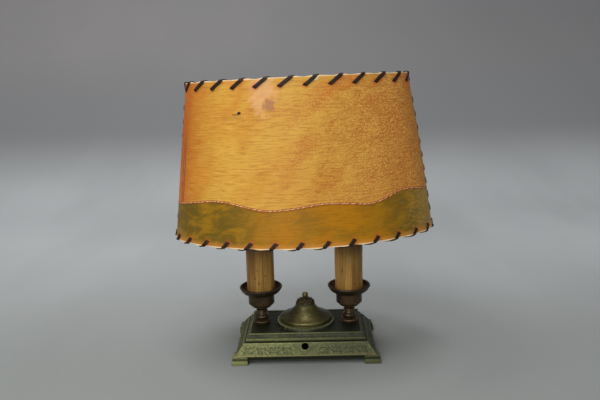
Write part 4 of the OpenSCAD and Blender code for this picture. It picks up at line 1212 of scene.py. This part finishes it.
# One stitch of each edge's lace: run along the edge in shares of the pitch, height from the holes towards
# the edge as a share of it, distance out from the parchment, and the way that the lace faces
TOP_STITCH = (
    (-0.02, 0.0, -0.4, "down"), (0.02, 0.0, 0.75, "out"), (0.22, 0.45, 0.85, "out"),
    (0.42, 0.88, 0.75, "out"), (0.48, 1.08, -0.1, "up"), (0.54, 1.12, -2.6, "up"),
    (0.61, 0.85, -5.2, "in"), (0.68, 0.5, -5.5, "in"), (0.85, 0.1, -3.2, "in"), (0.94, 0.0, -1.9, "in"))
LOW_STITCH = (
    (0.02, 0.0, -0.4, "up"), (-0.02, 0.0, 0.75, "out"), (-0.1, 0.5, 0.85, "out"),
    (-0.18, 0.88, 0.7, "out"), (-0.25, 1.14, 0.0, "down"), (-0.46, 1.18, -2.2, "down"),
    (-0.58, 0.85, -5.1, "in"), (-0.68, 0.5, -5.5, "in"), (-0.85, 0.1, -3.2, "in"), (-0.94, 0.0, -1.9, "in"))
# One stitch of a seam's lace: place across it (1 at a hole), height above the hole, distance out, facing
SEAM_STITCH = (
    (-1.15, -0.4, -0.5, "aside"), (-0.9, 0.0, 0.75, "out"), (0.0, 2.6, 1.0, "out"),
    (0.9, 5.2, 0.75, "out"), (1.15, 5.6, -0.5, "aside"), (0.7, 7.5, -2.0, "in"), (-0.7, 12.5, -2.0, "in"))


def lace_point(run, z, out):
    """A point of a lace, and the way out from the parchment there."""
    run, z = np.array([run % 1.0]), np.array([z])
    here = on_parchment(run, z, out)[0]
    return here, on_parchment(run, z, out + 1.0)[0] - here


def lace_over_edge(name, stitch, edge_z, hole_z, phase, count, order, seed):
    """One flat lace whipped round an edge and its wire."""
    points, normals = [], []
    dice = np.random.default_rng(seed)
    for i in order:
        wobble = dice.uniform(-0.03, 0.03)
        for place, rise, out, facing in stitch:
            run = (i + phase + place + wobble * (0.3 < abs(place) < 0.7)) * (1 / count)
            here, away = lace_point(run, hole_z + (edge_z - hole_z) * rise, out)
            points.append(here)
            normals.append({"out": away, "in": -away, "up": (0, 0, 1), "down": (0, 0, -1)}[facing])
    return shade_sweep(name, *smoothed(points, normals, 4, True), lace_section)


def lace_down_seam(name, run):
    """A lace whipped up a side seam, through a hole on each side of it."""
    reach = SEAM_HOLE_IN / (2 * HALF_ROUND)
    points, normals = [], []
    for z in seam_holes_z:
        for offset, rise, out, facing in SEAM_STITCH:
            here, away = lace_point(run + offset * reach, z + rise, out)
            across = np.cross(away, (0, 0, 1.0)) * -offset
            points.append(here)
            normals.append({"out": away, "in": -away, "aside": across}[facing])
    path, facing = smoothed(points[:-2], normals[:-2], 5, False)
    return shade_sweep(name, path, facing, lace_section * SEAM_LACE_SCALE, closed=False)


def lace_paint():
    p = Paint("dark_flat_lace")
    at = p.place()
    grain, worn = p.noise(at, 1.1, 4, 0.7), p.noise(at, 6, 3)
    speckle = ((112, 66, 38), (grain, 0.58, 0.78), 0.45)
    colour = p.mix((worn, 0.4, 0.7), (30, 17, 10), (48, 26, 15), speckle)
    return p.finish(colour, (grain, 0.3, 0.7, 0.5, 0.7), p.bump(grain, 0.12), Specular_IOR_Level=0.25)


lace = lace_paint()
top_lace = lace_over_edge("top_lace", TOP_STITCH, TOP_Z, top_hole_z, TOP_PHASE, TOP_STITCHES,
                          range(TOP_STITCHES), 5)
low_lace = lace_over_edge("bottom_lace", LOW_STITCH, LOW_Z, low_hole_z, LOW_PHASE, BOTTOM_STITCHES,
                          reversed(range(BOTTOM_STITCHES)), 6)
dress(top_lace, lace, "lace", "shade", "top_lacing")
dress(low_lace, lace, "lace", "shade", "bottom_lacing")
for side, run in (("left", 0.5), ("right", 0.0)):
    dress(lace_down_seam(f"{side}_seam_lace", run), lace, "lace", "shade", f"{side}_seam_lacing")


# ---------------- end

bpy.context.view_layer.update()
